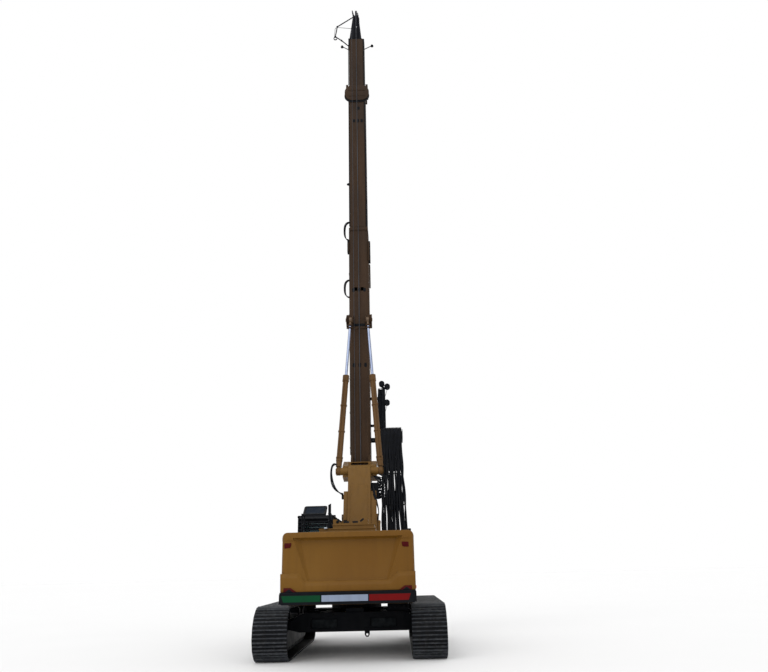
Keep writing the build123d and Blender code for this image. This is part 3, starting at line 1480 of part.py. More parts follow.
export_step(service_jib.part, "parts/service_jib.step")

# Window panes of the cab and of its door.
pane = 8

with BuildPart() as cab_glass:
    side_plate((cab_right - 30 - pane, cab_right - 30), right_window)
    rear_plate((cab_rear + 20, cab_rear + 20 + pane), rear_window)
    lean_face = [
        (cab_front - 38, cab_floor + 480),
        (cab_front - 30, cab_floor + 480),
        (cab_front - 30 - 125, cab_roof - 190),
        (cab_front - 38 - 125, cab_roof - 190),
    ]
    side_plate((cab_left + 110, cab_right - 110), lean_face)
cab_glass.part.label = "cab_glass"
export_step(cab_glass.part, "parts/cab_glass.step")

with BuildPart() as door_glass:
    side_plate((cab_left + 20, cab_left + 20 + pane), door_window)
door_glass.part.label = "door_glass"
export_step(door_glass.part, "parts/door_glass.step")

# Handrails on the right of the deck and beside the cab.
rail_radius = 19

handrail_height = 900
handrail_table = (
    # x, rear foot and its base, front foot and its base
    (1420, 1010, upper_step[1], 1570, lower_step[1]),
    (-1420, -650, locker_high, -190, locker_high),
)

with BuildPart() as handrails:
    for x, rear, rear_base, front, front_base in handrail_table:
        top = min(rear_base, front_base) + handrail_height
        bar((x, rear, rear_base), (x, rear, top), rail_radius)
        bar((x, front, front_base), (x, front, top), rail_radius)
        bar((x, rear - rail_radius, top), (x, front + rail_radius, top), rail_radius)
handrails.part.label = "handrails"
export_step(handrails.part, "parts/handrails.step")
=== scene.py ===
import math
import random
import bmesh
import bpy
from mathutils import Euler, Matrix, Vector


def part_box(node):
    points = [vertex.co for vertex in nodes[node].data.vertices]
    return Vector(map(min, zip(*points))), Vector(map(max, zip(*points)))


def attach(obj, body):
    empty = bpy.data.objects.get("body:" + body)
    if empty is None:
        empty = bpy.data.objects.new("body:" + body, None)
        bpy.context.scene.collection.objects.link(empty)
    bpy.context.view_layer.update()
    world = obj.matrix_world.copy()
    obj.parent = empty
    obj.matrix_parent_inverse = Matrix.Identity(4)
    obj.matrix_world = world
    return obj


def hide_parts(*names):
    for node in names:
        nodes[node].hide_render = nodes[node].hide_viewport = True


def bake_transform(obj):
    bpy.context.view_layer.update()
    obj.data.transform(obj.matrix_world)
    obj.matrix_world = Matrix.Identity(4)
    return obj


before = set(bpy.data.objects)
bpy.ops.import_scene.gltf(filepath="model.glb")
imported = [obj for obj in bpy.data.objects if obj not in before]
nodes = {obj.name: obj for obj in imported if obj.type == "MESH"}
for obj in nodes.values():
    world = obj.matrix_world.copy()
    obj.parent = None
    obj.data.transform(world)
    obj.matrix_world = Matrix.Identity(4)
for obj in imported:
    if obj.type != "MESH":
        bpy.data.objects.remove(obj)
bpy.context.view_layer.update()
scene = bpy.context.scene
slewPlace = -0.775  # the slew axis along y; distances named reach count from it


def ahead(reach):
    return slewPlace + reach


print("frame loaded")

# camera
cameraView = {"place": (1.130, -20.003, 1.948), "yaw": 0.682, "pitch": 19.268, "roll": -1.365, "lens": 31.28}

cameraData = bpy.data.cameras.new("rearCamera")
cameraData.lens = cameraView["lens"]
cameraData.sensor_width = 36
cameraData.clip_end = 400
rearCamera = bpy.data.objects.new("rearCamera", cameraData)
scene.collection.objects.link(rearCamera)
aim = Euler((math.radians(90 + cameraView["pitch"]), 0, math.radians(cameraView["yaw"]))).to_matrix().to_4x4()
aim = aim @ Matrix.Rotation(math.radians(cameraView["roll"]), 4, "Z")
rearCamera.matrix_world = Matrix.Translation(cameraView["place"]) @ aim
scene.camera = rearCamera

# small tools for modelling


def clearSelection():
    if bpy.context.mode != "OBJECT":
        bpy.ops.object.mode_set(mode="OBJECT")
    bpy.ops.object.select_all(action="DESELECT")


def makeActive(piece):
    clearSelection()
    piece.select_set(True)
    bpy.context.view_layer.objects.active = piece


def settle(piece):
    makeActive(piece)
    bpy.ops.object.transform_apply(location=True, rotation=True, scale=True)
    return piece


def cubeStart(name, low, high):
    clearSelection()
    size = [b - a for a, b in zip(low, high)]
    middle = [(a + b) / 2 for a, b in zip(low, high)]
    bpy.ops.mesh.primitive_cube_add(size=1, location=middle, scale=size)
    bpy.context.object.name = name
    return settle(bpy.context.object)


def roundStart(name, start, end, radius, sides=24, endRadius=None):
    clearSelection()
    line = Vector(end) - Vector(start)
    turn = line.to_track_quat("Z", "Y").to_euler()
    middle = (Vector(start) + Vector(end)) / 2
    if endRadius is None:
        bpy.ops.mesh.primitive_cylinder_add(
            vertices=sides, radius=radius, depth=line.length, location=middle, rotation=turn
        )
    else:
        bpy.ops.mesh.primitive_cone_add(
            vertices=sides, radius1=radius, radius2=endRadius, depth=line.length, location=middle, rotation=turn
        )
    bpy.context.object.name = name
    return settle(bpy.context.object)


def ballStart(name, middle, radius, sides=16):
    clearSelection()
    bpy.ops.mesh.primitive_uv_sphere_add(segments=sides, ring_count=sides // 2, radius=radius, location=middle)
    bpy.context.object.name = name
    return settle(bpy.context.object)


def pickFaces(piece, wanted):
    makeActive(piece)
    bpy.ops.object.mode_set(mode="EDIT")
    bpy.ops.mesh.select_mode(type="FACE")
    bpy.ops.mesh.select_all(action="DESELECT")
    shape = bmesh.from_edit_mesh(piece.data)
    for face in shape.faces:
        face.select_set(wanted(face.calc_center_median(), face.normal))
    bmesh.update_edit_mesh(piece.data)


def pickPoints(piece, wanted):
    makeActive(piece)
    bpy.ops.object.mode_set(mode="EDIT")
    bpy.ops.mesh.select_mode(type="VERT")
    bpy.ops.mesh.select_all(action="DESELECT")
    shape = bmesh.from_edit_mesh(piece.data)
    for point in shape.verts:
        point.select_set(wanted(point.co))
    shape.select_flush(True)
    bmesh.update_edit_mesh(piece.data)


def leaveEdit():
    bpy.ops.object.mode_set(mode="OBJECT")


def movePoints(piece, wanted, step):
    pickPoints(piece, wanted)
    bpy.ops.transform.translate(value=step)
    leaveEdit()


def cutAt(piece, place, normal):
    makeActive(piece)
    bpy.ops.object.mode_set(mode="EDIT")
    bpy.ops.mesh.select_all(action="SELECT")
    bpy.ops.mesh.bisect(plane_co=place, plane_no=normal)
    leaveEdit()


def insetFaces(piece, wanted, border, depth=0.0):
    # a border inside the picked faces, then the middle pushed along the normal
    pickFaces(piece, wanted)
    bpy.ops.mesh.inset(thickness=border, depth=0.0)
    if depth:
        bpy.ops.mesh.inset(thickness=0.0001, depth=depth)
    leaveEdit()


def roundEdges(piece, width, segments=2, angle=30):
    edge = piece.modifiers.new("roundEdges", "BEVEL")
    edge.width = width
    edge.segments = segments
    edge.limit_method = "ANGLE"
    edge.angle_limit = math.radians(angle)
    makeActive(piece)
    bpy.ops.object.modifier_apply(modifier=edge.name)
    return piece


def openFrame(name, low, high, thin, border):
    # a flat frame with a hole through it; thin is the axis it is looked through
    piece = cubeStart(name, low, high)
    pickFaces(piece, lambda middle, normal: abs(normal[thin]) > 0.9)
    bpy.ops.mesh.inset(thickness=border)
    bpy.ops.mesh.bridge_edge_loops()
    leaveEdit()
    return piece


def joinAll(name, parts):
    makeActive(parts[0])
    for part in parts:
        part.select_set(True)
    if len(parts) > 1:
        bpy.ops.object.join()
    parts[0].name = name
    return parts[0]


def spread(name, pattern, places):
    # copies of a pattern that points along +z, each at a place and along a way
    copies = []
    for place, way in places:
        twin = pattern.copy()
        twin.data = pattern.data.copy()
        scene.collection.objects.link(twin)
        turn = Vector(way).to_track_quat("Z", "Y").to_matrix().to_4x4()
        twin.data.transform(Matrix.Translation(place) @ turn)
        copies.append(twin)
    bpy.data.objects.remove(pattern)
    return joinAll(name, copies)


def boltPattern(size):
    washer = roundStart("washer", (0, 0, 0), (0, 0, size * 0.18), size, 12)
    head = roundStart("head", (0, 0, size * 0.1), (0, 0, size * 0.75), size * 0.72, 6)
    return joinAll("bolt", [washer, head])


def hoseRuns(name, routes, radius, order=4):
    line = bpy.data.curves.new(name, "CURVE")
    line.dimensions = "3D"
    line.bevel_depth = radius
    line.bevel_resolution = 2
    line.resolution_u = 5
    line.use_fill_caps = True
    for route in routes:
        run = line.splines.new("NURBS")
        run.points.add(len(route) - 1)
        for point, place in zip(run.points, route):
            point.co = (*place, 1)
        run.order_u = min(order, len(route))
        run.use_endpoint_u = True
    piece = bpy.data.objects.new(name, line)
    scene.collection.objects.link(piece)
    makeActive(piece)
    bpy.ops.object.convert(target="MESH")
    return bpy.context.object


def placed(*bends):
    # places from their x, reach and z
    return [(x, ahead(reach), z) for x, reach, z in bends]


def slab(name, across, along, up, width=0.006):
    # a box with rounded edges from its spans in x, reach and z
    low = (min(across), ahead(min(along)), min(up))
    high = (max(across), ahead(max(along)), max(up))
    return roundEdges(cubeStart(name, low, high), width, 2)


def tube(name, start, end, outer, inner, sides=32):
    line = (Vector(end) - Vector(start)).normalized()
    piece = roundStart(name, start, end, outer, sides)
    pickFaces(piece, lambda middle, normal: abs(normal.dot(line)) > 0.9)
    bpy.ops.mesh.inset(thickness=outer - inner)
    bpy.ops.mesh.bridge_edge_loops()
    leaveEdit()
    return piece


def bevelEdges(piece, wanted, width, segments=1):
    # picked edges cut to a slant or a round; wanted is given an edge's two ends
    makeActive(piece)
    bpy.ops.object.mode_set(mode="EDIT")
    bpy.ops.mesh.select_mode(type="EDGE")
    bpy.ops.mesh.select_all(action="DESELECT")
    shape = bmesh.from_edit_mesh(piece.data)
    for edge in shape.edges:
        edge.select_set(wanted(edge.verts[0].co, edge.verts[1].co))
    bmesh.update_edit_mesh(piece.data)
    bpy.ops.mesh.bevel(offset=width, segments=segments, affect="EDGES")
    leaveEdit()
    return piece


def roundedPlate(name, low, high, thin, corner, segments=6):
    # a plate whose corners are round when looked at along the thin axis
    piece = cubeStart(name, low, high)
    return bevelEdges(piece, lambda first, last: abs((last - first).normalized()[thin]) > 0.9, corner, segments)


def boltRing(middle, way, radius, count, size):
    # bolts on a circle round an axis
    line = Vector(way).normalized()
    first = line.orthogonal().normalized()
    second = line.cross(first)
    places = []
    for step in range(count):
        angle = math.tau * (step + 0.5) / count
        places.append((Vector(middle) + radius * (math.cos(angle) * first + math.sin(angle) * second), line))
    return spread("bolts", boltPattern(size), places)


def coat(piece, finish):
    piece.data.materials.clear()
    piece.data.materials.append(finish)
    return piece


def hand(piece, body, hides=(), angle=35):
    # last step of a piece: shading, the body that carries it and what it stands for
    makeActive(piece)
    bpy.ops.object.shade_smooth_by_angle(angle=math.radians(angle))
    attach(piece, body)
    if hides:
        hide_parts(*hides)
    return piece


# finishes


def tone(red, green, blue):
    shares = [value / 255 for value in (red, green, blue)]
    return tuple(s / 12.92 if s <= 0.04045 else ((s + 0.055) / 1.055) ** 2.4 for s in shares) + (1.0,)


def noiseFrom(tree, scale, detail=3.0, stretch=(1, 1, 1)):
    place = tree.nodes.new("ShaderNodeTexCoord")
    mapping = tree.nodes.new("ShaderNodeMapping")
    mapping.inputs["Scale"].default_value = stretch
    pattern = tree.nodes.new("ShaderNodeTexNoise")
    pattern.inputs["Scale"].default_value = scale
    pattern.inputs["Detail"].default_value = detail
    tree.links.new(place.outputs["Object"], mapping.inputs["Vector"])
    tree.links.new(mapping.outputs["Vector"], pattern.inputs["Vector"])
    return pattern.outputs["Fac"]


def ranged(tree, source, low, high, start=0.0, end=1.0):
    node = tree.nodes.new("ShaderNodeMapRange")
    tree.links.new(source, node.inputs["Value"])
    for key, value in (("From Min", low), ("From Max", high), ("To Min", start), ("To Max", end)):
        node.inputs[key].default_value = value
    return node.outputs["Result"]


def product(tree, first, second):
    node = tree.nodes.new("ShaderNodeMath")
    node.operation = "MULTIPLY"
    for socket, value in zip(node.inputs, (first, second)):
        if isinstance(value, (int, float)):
            socket.default_value = value
        else:
            tree.links.new(value, socket)
    return node.outputs[0]


def mixed(tree, share, first, second):
    node = tree.nodes.new("ShaderNodeMix")
    node.data_type = "RGBA"
    tree.links.new(share, node.inputs[0])
    for socket, value in ((node.inputs[6], first), (node.inputs[7], second)):
        if isinstance(value, tuple):
            socket.default_value = value
        else:
            tree.links.new(value, socket)
    return node.outputs[2]


def edgeShare(tree, radius):
    # 1 along sharp edges, 0 on flats
    rounded = tree.nodes.new("ShaderNodeBevel")
    rounded.samples = 4
    rounded.inputs["Radius"].default_value = radius
    flat = tree.nodes.new("ShaderNodeNewGeometry")
    dot = tree.nodes.new("ShaderNodeVectorMath")
    dot.operation = "DOT_PRODUCT"
    tree.links.new(rounded.outputs["Normal"], dot.inputs[0])
    tree.links.new(flat.outputs["Normal"], dot.inputs[1])
    return ranged(tree, dot.outputs["Value"], 0.985, 0.86), rounded.outputs["Normal"]


def upShare(tree):
    flat = tree.nodes.new("ShaderNodeNewGeometry")
    split = tree.nodes.new("ShaderNodeSeparateXYZ")
    tree.links.new(flat.outputs["Normal"], split.inputs["Vector"])
    return ranged(tree, split.outputs["Z"], 0.35, 0.95)


def heightShare(tree, low, high):
    place = tree.nodes.new("ShaderNodeTexCoord")
    split = tree.nodes.new("ShaderNodeSeparateXYZ")
    tree.links.new(place.outputs["Object"], split.inputs["Vector"])
    return ranged(tree, split.outputs["Z"], low, high)


def newFinish(name):
    finish = bpy.data.materials.new(name)
    finish.use_nodes = True
    return finish, finish.node_tree, finish.node_tree.nodes["Principled BSDF"]


def paintFinish(name, look):
    finish, tree, shader = newFinish(name)
    edge, rounded = edgeShare(tree, look.get("edge", 0.012))
    fine = noiseFrom(tree, look.get("grain", 6.0), 5)
    colour = mixed(
        tree, ranged(tree, noiseFrom(tree, 0.6, 3, (1, 1, 0.4)), 0.38, 0.64), look["base"], look["shade"]
    )
    streak = noiseFrom(tree, 2.2, 5, (3.5, 3.5, 0.25))
    colour = mixed(tree, ranged(tree, streak, 0.5, 0.78, 0, look["grime"]), colour, look["dirt"])
    colour = mixed(tree, product(tree, edge, ranged(tree, fine, 0.44, 0.62, 0, look["wear"])), colour, look["worn"])
    settled = product(tree, upShare(tree), ranged(tree, fine, 0.35, 0.7, 0.1, look["dustiness"]))
    colour = mixed(tree, settled, colour, look["dust"])
    tree.links.new(colour, shader.inputs["Base Color"])
    tree.links.new(
        ranged(tree, fine, 0.3, 0.7, look["rough"] - 0.07, look["rough"] + 0.1), shader.inputs["Roughness"]
    )
    bump = tree.nodes.new("ShaderNodeBump")
    bump.inputs["Strength"].default_value = look.get("relief", 0.12)
    bump.inputs["Distance"].default_value = 0.002
    tree.links.new(noiseFrom(tree, look.get("peel", 70.0), 2), bump.inputs["Height"])
    tree.links.new(rounded, bump.inputs["Normal"])
    tree.links.new(bump.outputs["Normal"], shader.inputs["Normal"])
    shader.inputs["Metallic"].default_value = look.get("metal", 0.0)
    shader.inputs["Specular IOR Level"].default_value = look.get("gloss", 0.4)
    return finish


dustTone = tone(122, 112, 98)
bodyYellow = paintFinish("bodyYellow", {
    "base": tone(107, 78, 36), "shade": tone(99, 70, 30), "dirt": tone(60, 44, 24), "grime": 0.25,
    "worn": tone(134, 100, 54), "wear": 0.6, "dust": tone(122, 96, 56), "dustiness": 0.35, "rough": 0.5,
    "gloss": 0.14,
})
weightYellow = paintFinish("weightYellow", {
    "base": tone(106, 73, 22), "shade": tone(99, 66, 17), "dirt": tone(70, 46, 16), "grime": 0.2, "gloss": 0.14,
    "worn": tone(132, 98, 50), "wear": 0.5, "dust": tone(126, 96, 50), "dustiness": 0.4, "rough": 0.46,
    "peel": 45.0,
})
mastBrown = paintFinish("mastBrown", {
    "base": tone(62, 45, 31), "shade": tone(50, 38, 29), "dirt": tone(30, 25, 21), "grime": 0.45, "gloss": 0.1,
    "worn": tone(92, 70, 46), "wear": 0.6, "dust": tone(96, 78, 56), "dustiness": 0.3, "rough": 0.58,
})
cylinderBrown = paintFinish("cylinderBrown", {
    "base": tone(92, 66, 36), "shade": tone(82, 58, 31), "dirt": tone(46, 34, 22), "grime": 0.35, "gloss": 0.14,
    "worn": tone(116, 88, 52), "wear": 0.6, "dust": tone(110, 86, 54), "dustiness": 0.3, "rough": 0.5,
})
blackPaint = paintFinish("blackPaint", {
    "base": tone(8, 11, 17), "shade": tone(5, 7, 12), "dirt": tone(24, 24, 25), "grime": 0.25,
    "worn": tone(44, 46, 51), "wear": 0.35, "dust": tone(44, 43, 42), "dustiness": 0.35, "rough": 0.55,
    "gloss": 0.1,
})
catheadBlack = paintFinish("catheadBlack", {
    "base": tone(14, 15, 24), "shade": tone(9, 10, 16), "dirt": tone(26, 24, 24), "grime": 0.3,
    "worn": tone(50, 51, 58), "wear": 0.3, "dust": tone(40, 40, 44), "dustiness": 0.25, "rough": 0.55, "gloss": 0.1,
})
shoeSteel = paintFinish("shoeSteel", {
    "base": tone(13, 15, 19), "shade": tone(8, 10, 13), "dirt": tone(28, 25, 22), "grime": 0.5, "grain": 14.0,
    "worn": tone(70, 72, 76), "wear": 0.6, "dust": tone(46, 44, 40), "dustiness": 0.4, "rough": 0.52, "gloss": 0.1,
    "metal": 0.2, "edge": 0.006, "relief": 0.4, "peel": 38.0,
})
# lighter copy of shoeSteel for the grouser ridges: painted highlight where their faces catch the light, partly real
# polish from wear
ridgeSteelPolishAndHighlight = paintFinish("ridgeSteelPolishAndHighlight", {
    "base": tone(56, 59, 64), "shade": tone(34, 37, 42), "dirt": tone(36, 33, 29), "grime": 0.5, "grain": 14.0,
    "worn": tone(132, 135, 140), "wear": 0.9, "dust": tone(80, 78, 73), "dustiness": 0.35, "rough": 0.42,
    "gloss": 0.25,
    "metal": 0.4, "edge": 0.008, "relief": 0.4, "peel": 38.0,
})
bareSteel = paintFinish("bareSteel", {
    "base": tone(112, 108, 102), "shade": tone(88, 82, 76), "dirt": tone(74, 52, 36), "grime": 0.4, "grain": 12.0,
    "worn": tone(168, 166, 162), "wear": 0.7, "dust": dustTone, "dustiness": 0.3, "rough": 0.38,
    "metal": 0.8, "edge": 0.006, "relief": 0.25, "peel": 50.0,
})
ropeSteel = paintFinish("ropeSteel", {
    "base": tone(66, 68, 74), "shade": tone(48, 50, 56), "dirt": tone(36, 32, 28), "grime": 0.6, "grain": 20.0,
    "worn": tone(120, 120, 122), "wear": 0.5, "dust": tone(70, 66, 60), "dustiness": 0.2, "rough": 0.5,
    "metal": 0.6, "edge": 0.003,
})
engineGrey = paintFinish("engineGrey", {
    "base": tone(90, 92, 95), "shade": tone(72, 74, 77), "dirt": tone(40, 38, 36), "grime": 0.5,
    "worn": tone(130, 130, 130), "wear": 0.5, "dust": dustTone, "dustiness": 0.4, "rough": 0.5, "metal": 0.3,
})
hatchBlue = paintFinish("hatchBlue", {
    "base": tone(12, 24, 38), "shade": tone(8, 19, 32), "dirt": tone(26, 33, 40), "grime": 0.25, "gloss": 0.05,
    "worn": tone(44, 58, 72), "wear": 0.3, "dust": tone(44, 52, 58), "dustiness": 0.1, "rough": 0.5,
})
stripeGreen = paintFinish("stripeGreen", {
    "base": tone(0, 58, 31), "shade": tone(0, 50, 26), "dirt": tone(10, 34, 22), "grime": 0.2, "gloss": 0.1,
    "worn": tone(30, 80, 54), "wear": 0.3, "dust": tone(60, 80, 66), "dustiness": 0.1, "rough": 0.36,
    "peel": 260.0, "relief": 0.2,
})
stripeWhite = paintFinish("stripeWhite", {
    "base": tone(132, 144, 165), "shade": tone(122, 134, 154), "dirt": tone(92, 95, 100), "grime": 0.3,
    "gloss": 0.1,
    "worn": tone(160, 168, 180), "wear": 0.3, "dust": tone(130, 130, 126), "dustiness": 0.1, "rough": 0.3,
    "peel": 260.0, "relief": 0.2,
})
stripeRed = paintFinish("stripeRed", {
    "base": tone(108, 4, 6), "shade": tone(96, 3, 5), "dirt": tone(52, 10, 10), "grime": 0.2, "gloss": 0.1,
    "worn": tone(126, 40, 36), "wear": 0.3, "dust": tone(96, 60, 54), "dustiness": 0.1, "rough": 0.36,
    "peel": 260.0, "relief": 0.2,
})


def plainFinish(name, base, shade, rough, grain, relief=0.1, metal=0.0, coatShare=0.0, gloss=0.2):
    finish, tree, shader = newFinish(name)
    fine = noiseFrom(tree, grain, 4)
    tree.links.new(mixed(tree, ranged(tree, fine, 0.35, 0.65), base, shade), shader.inputs["Base Color"])
    tree.links.new(ranged(tree, fine, 0.3, 0.7, rough * 0.8, rough * 1.2), shader.inputs["Roughness"])
    bump = tree.nodes.new("ShaderNodeBump")
    bump.inputs["Strength"].default_value = relief
    bump.inputs["Distance"].default_value = 0.001
    tree.links.new(noiseFrom(tree, grain * 9, 3), bump.inputs["Height"])
    tree.links.new(bump.outputs["Normal"], shader.inputs["Normal"])
    shader.inputs["Metallic"].default_value = metal
    shader.inputs["Coat Weight"].default_value = coatShare
    shader.inputs["Specular IOR Level"].default_value = gloss
    return finish


hoseRubber = plainFinish("hoseRubber", tone(4, 6, 11), tone(11, 14, 21), 0.42, 9, 0.25, gloss=0.14)
padRubber = plainFinish("padRubber", tone(8, 10, 15), tone(18, 19, 24), 0.7, 14, 0.35)
pocketDust = plainFinish("pocketDust", tone(34, 39, 42), tone(22, 26, 29), 0.8, 7, 0.4)
trimPlastic = plainFinish("trimPlastic", tone(28, 31, 36), tone(36, 39, 44), 0.55, 30, 0.3)
lampRed = plainFinish("lampRed", tone(70, 5, 8), tone(56, 3, 5), 0.35, 40, 0.15, gloss=0.08)
lampAmber = plainFinish("lampAmber", tone(214, 96, 28), tone(190, 78, 20), 0.2, 40, 0.15, 0.0, 0.8)
lampLens = plainFinish("lampLens", tone(168, 178, 188), tone(140, 150, 160), 0.12, 50, 0.2, 0.0, 1.0)
chromeRod = plainFinish("chromeRod", tone(150, 160, 184), tone(138, 147, 170), 0.16, 5, 0.04, 1.0, 0.0, 0.5)


def rodFinish(name, low, high, head):
    # chrome below a height, the eye's paint above it
    finish, tree, shader = newFinish(name)
    share = heightShare(tree, low, high)
    fine = noiseFrom(tree, 4, 3)
    chrome = mixed(tree, ranged(tree, fine, 0.35, 0.65), tone(150, 160, 184), tone(136, 145, 168))
    paint = mixed(tree, ranged(tree, fine, 0.35, 0.65), head, tone(70, 54, 38))
    tree.links.new(mixed(tree, share, chrome, paint), shader.inputs["Base Color"])
    tree.links.new(ranged(tree, share, 0, 1, 0.16, 0.5), shader.inputs["Roughness"])
    tree.links.new(ranged(tree, share, 0, 1, 1.0, 0.0), shader.inputs["Metallic"])
    return finish


rakerRodFinish = rodFinish("rakerRodFinish", 10.06, 10.08, tone(98, 74, 48))
liftRodFinish = rodFinish("liftRodFinish", 3.36, 3.38, tone(112, 84, 47))


def glassFinish(name, colour):
    finish, tree, shader = newFinish(name)
    fine = noiseFrom(tree, 2.0, 4, (1, 1, 0.5))
    tree.links.new(ranged(tree, fine, 0.4, 0.7, 0.02, 0.09), shader.inputs["Roughness"])
    tree.links.new(
        mixed(tree, ranged(tree, fine, 0.4, 0.7), colour, tone(74, 106, 110)), shader.inputs["Base Color"]
    )
    shader.inputs["Transmission Weight"].default_value = 0.8
    shader.inputs["IOR"].default_value = 1.45
    return finish


cabGlass = glassFinish("cabGlass", tone(56, 92, 98))


def clothFinish(name, base, shade):
    finish, tree, shader = newFinish(name)
    threads = []
    for stretch in ((1, 0.02, 0.02), (0.02, 1, 1)):
        threads.append(noiseFrom(tree, 420, 1, stretch))
    weave = product(tree, threads[0], threads[1])
    tree.links.new(mixed(tree, ranged(tree, weave, 0.15, 0.35), base, shade), shader.inputs["Base Color"])
    bump = tree.nodes.new("ShaderNodeBump")
    bump.inputs["Strength"].default_value = 0.5
    bump.inputs["Distance"].default_value = 0.0008
    tree.links.new(weave, bump.inputs["Height"])
    tree.links.new(bump.outputs["Normal"], shader.inputs["Normal"])
    shader.inputs["Roughness"].default_value = 0.85
    shader.inputs["Sheen Weight"].default_value = 0.3
    return finish


seatCloth = clothFinish("seatCloth", tone(34, 37, 43), tone(52, 56, 63))

nodeFinishes = {
    bodyYellow: (
        "upper_frame", "engine_house", "mast_cradle", "tank_house", "locker", "boom", "lift_barrels", "rotary"
    ),
    cylinderBrown: ("raker_barrels",),
    weightYellow: ("counterweight",),
    mastBrown: ("mast_lower", "mast_upper", "mast_tip", "crowd_cylinder", "kelly_guide"),
    blackPaint: ("track_frame_left", "track_frame_right", "carbody", "bumper", "exhaust", "cab_shell", "cab_guard",
                 "cab_door", "winch_frame", "hose_saddle", "lamp_post", "mast_fittings", "handrails", "slew_ring"),
    catheadBlack: ("cathead", "service_jib", "rear_sheave", "front_sheave"),
    shoeSteel: ("track_left", "track_right", "sprockets", "idlers"),
    chromeRod: ("crowd_rod",),
    bareSteel: ("kelly_outer", "kelly_inner", "drive_sleeve", "main_drum", "aux_drum"),
    ropeSteel: ("main_rope", "aux_rope", "rope_fall"),
    rakerRodFinish: ("raker_rod_left", "raker_rod_right"),
    liftRodFinish: ("lift_rods",),
    engineGrey: ("engine",),
    hatchBlue: ("roof_hatch",),
    padRubber: ("cradle_pads",),
    hoseRubber: ("hose_curtain",),
    trimPlastic: ("consoles",),
    seatCloth: ("seat",),
    cabGlass: ("cab_glass", "door_glass"),
}
for finish, names in nodeFinishes.items():
    for name in names:
        coat(nodes[name], finish)
print("finishes ready")

# tracks: one shoe is modelled, then set round the band
trackShoe = {
    "count": 49, "wheelHeight": 0.59, "plateRadius": 0.56, "straight": 4.62, "side": 1.81, "halfWidth": 0.4,
    "halfLength": 0.1325, "plate": 0.024, "ridgeRoot": 0.036, "ridgeHigh": 0.029, "bolt": 0.017,
    "linkPlace": 0.082, "linkHalf": 0.02, "linkDeep": 0.1,
}
bandLength = 2 * trackShoe["straight"] + 2 * math.pi * trackShoe["plateRadius"]


def bandPlace(run):
    # place and outward way on the band's outline after a run along it
    half, radius, high = trackShoe["straight"] / 2, trackShoe["plateRadius"], trackShoe["wheelHeight"]
    if run < trackShoe["straight"]:
        return (ahead(-half + run), high - radius), (0, -1)
    run -= trackShoe["straight"]
    if run < math.pi * radius:
        way = (math.sin(run / radius), -math.cos(run / radius))
        return (ahead(half + radius * way[0]), high + radius * way[1]), way
    run -= math.pi * radius
    if run < trackShoe["straight"]:
        return (ahead(half - run), high + radius), (0, 1)
    turn = (run - trackShoe["straight"]) / radius
    way = (-math.sin(turn), math.cos(turn))
    return (ahead(-half + radius * way[0]), high + radius * way[1]), way


def shoePattern():
    look = trackShoe
    high = (look["halfWidth"], look["halfLength"], 0)
    plate = cubeStart("plate", (-look["halfWidth"], -look["halfLength"], -look["plate"]), high)
    movePoints(plate, lambda p: p.z < -0.01 and abs(p.x) > 0.3, (0, 0, 0.006))
    roundEdges(plate, 0.006, 1)
    parts = [plate]
    pitch = bandLength / look["count"] / 3
    for row in (-1, 0, 1):
        root = look["ridgeRoot"] / 2
        half, middle = look["halfWidth"] - 0.004, row * pitch
        ridge = cubeStart("ridge", (-half, middle - root, -0.004), (half, middle + root, look["ridgeHigh"]))
        pickFaces(ridge, lambda middle, normal: normal.z > 0.9)
        bpy.ops.transform.resize(value=(0.985, 0.5, 1), center_override=(0, row * pitch, look["ridgeHigh"]))
        leaveEdit()
        roundEdges(ridge, 0.003, 1)
        parts.append(ridge)
    for x in (-0.105, 0.105):
        for row in (-0.5, 0.5):
            head = (x, row * pitch, look["bolt"] * 0.8)
            parts.append(roundStart("bolt", (x, row * pitch, -0.002), head, look["bolt"], 6))
    for side in (-1, 1):
        low = side * look["linkPlace"] - look["linkHalf"]
        high = (low + 2 * look["linkHalf"], 0.112, -look["plate"] + 0.002)
        link = cubeStart("link", (low, -0.112, -look["plate"] - look["linkDeep"]), high)
        pickFaces(link, lambda middle, normal: normal.z < -0.9)
        bpy.ops.transform.resize(value=(1, 0.72, 1), center_override=(0, 0, -look["plate"] - look["linkDeep"]))
        leaveEdit()
        parts.append(roundEdges(link, 0.012, 2))
    parts.append(roundStart("pin", (-0.118, 0.115, -0.085), (0.118, 0.115, -0.085), 0.022, 12))
    for part in parts:
        # the ridges take the lighter steel with its painted highlight, the plates between keep the darker shoe
        # steel
        coat(part, ridgeSteelPolishAndHighlight if part.name.startswith("ridge") else shoeSteel)
    return joinAll("shoe", parts)


def trackBand(name, side, node):
    pattern = shoePattern()
    copies = []
    for number in range(trackShoe["count"]):
        place, way = bandPlace((number + 0.5) * bandLength / trackShoe["count"])
        outward = Vector((0, way[0], way[1]))
        across = Vector((1, 0, 0))
        along = outward.cross(across)
        turn = Matrix((across, along, outward)).transposed().to_4x4()
        twin = pattern.copy()
        twin.data = pattern.data.copy()
        scene.collection.objects.link(twin)
        twin.data.transform(Matrix.Translation((side * trackShoe["side"], *place)) @ turn)
        copies.append(twin)
    bpy.data.objects.remove(pattern)
    return hand(joinAll(name, copies), "undercarriage", (node,), 30)


trackBand("trackBandLeft", -1, "track_left")
trackBand("trackBandRight", 1, "track_right")
print("tracks built")

# drive sprockets with teeth, and idlers with a raised rim
wheelLook = {
    "height": 0.59, "reach": 2.31, "teeth": 23, "root": 0.405, "tooth": 0.05, "half": 0.038, "hub": 0.23,
    "bolt": 0.02,
    "rim": 0.4, "rimHalf": 0.088, "flange": 0.428, "flangeHalf": 0.045, "idlerHub": 0.11, "idlerHubHalf": 0.145,
}


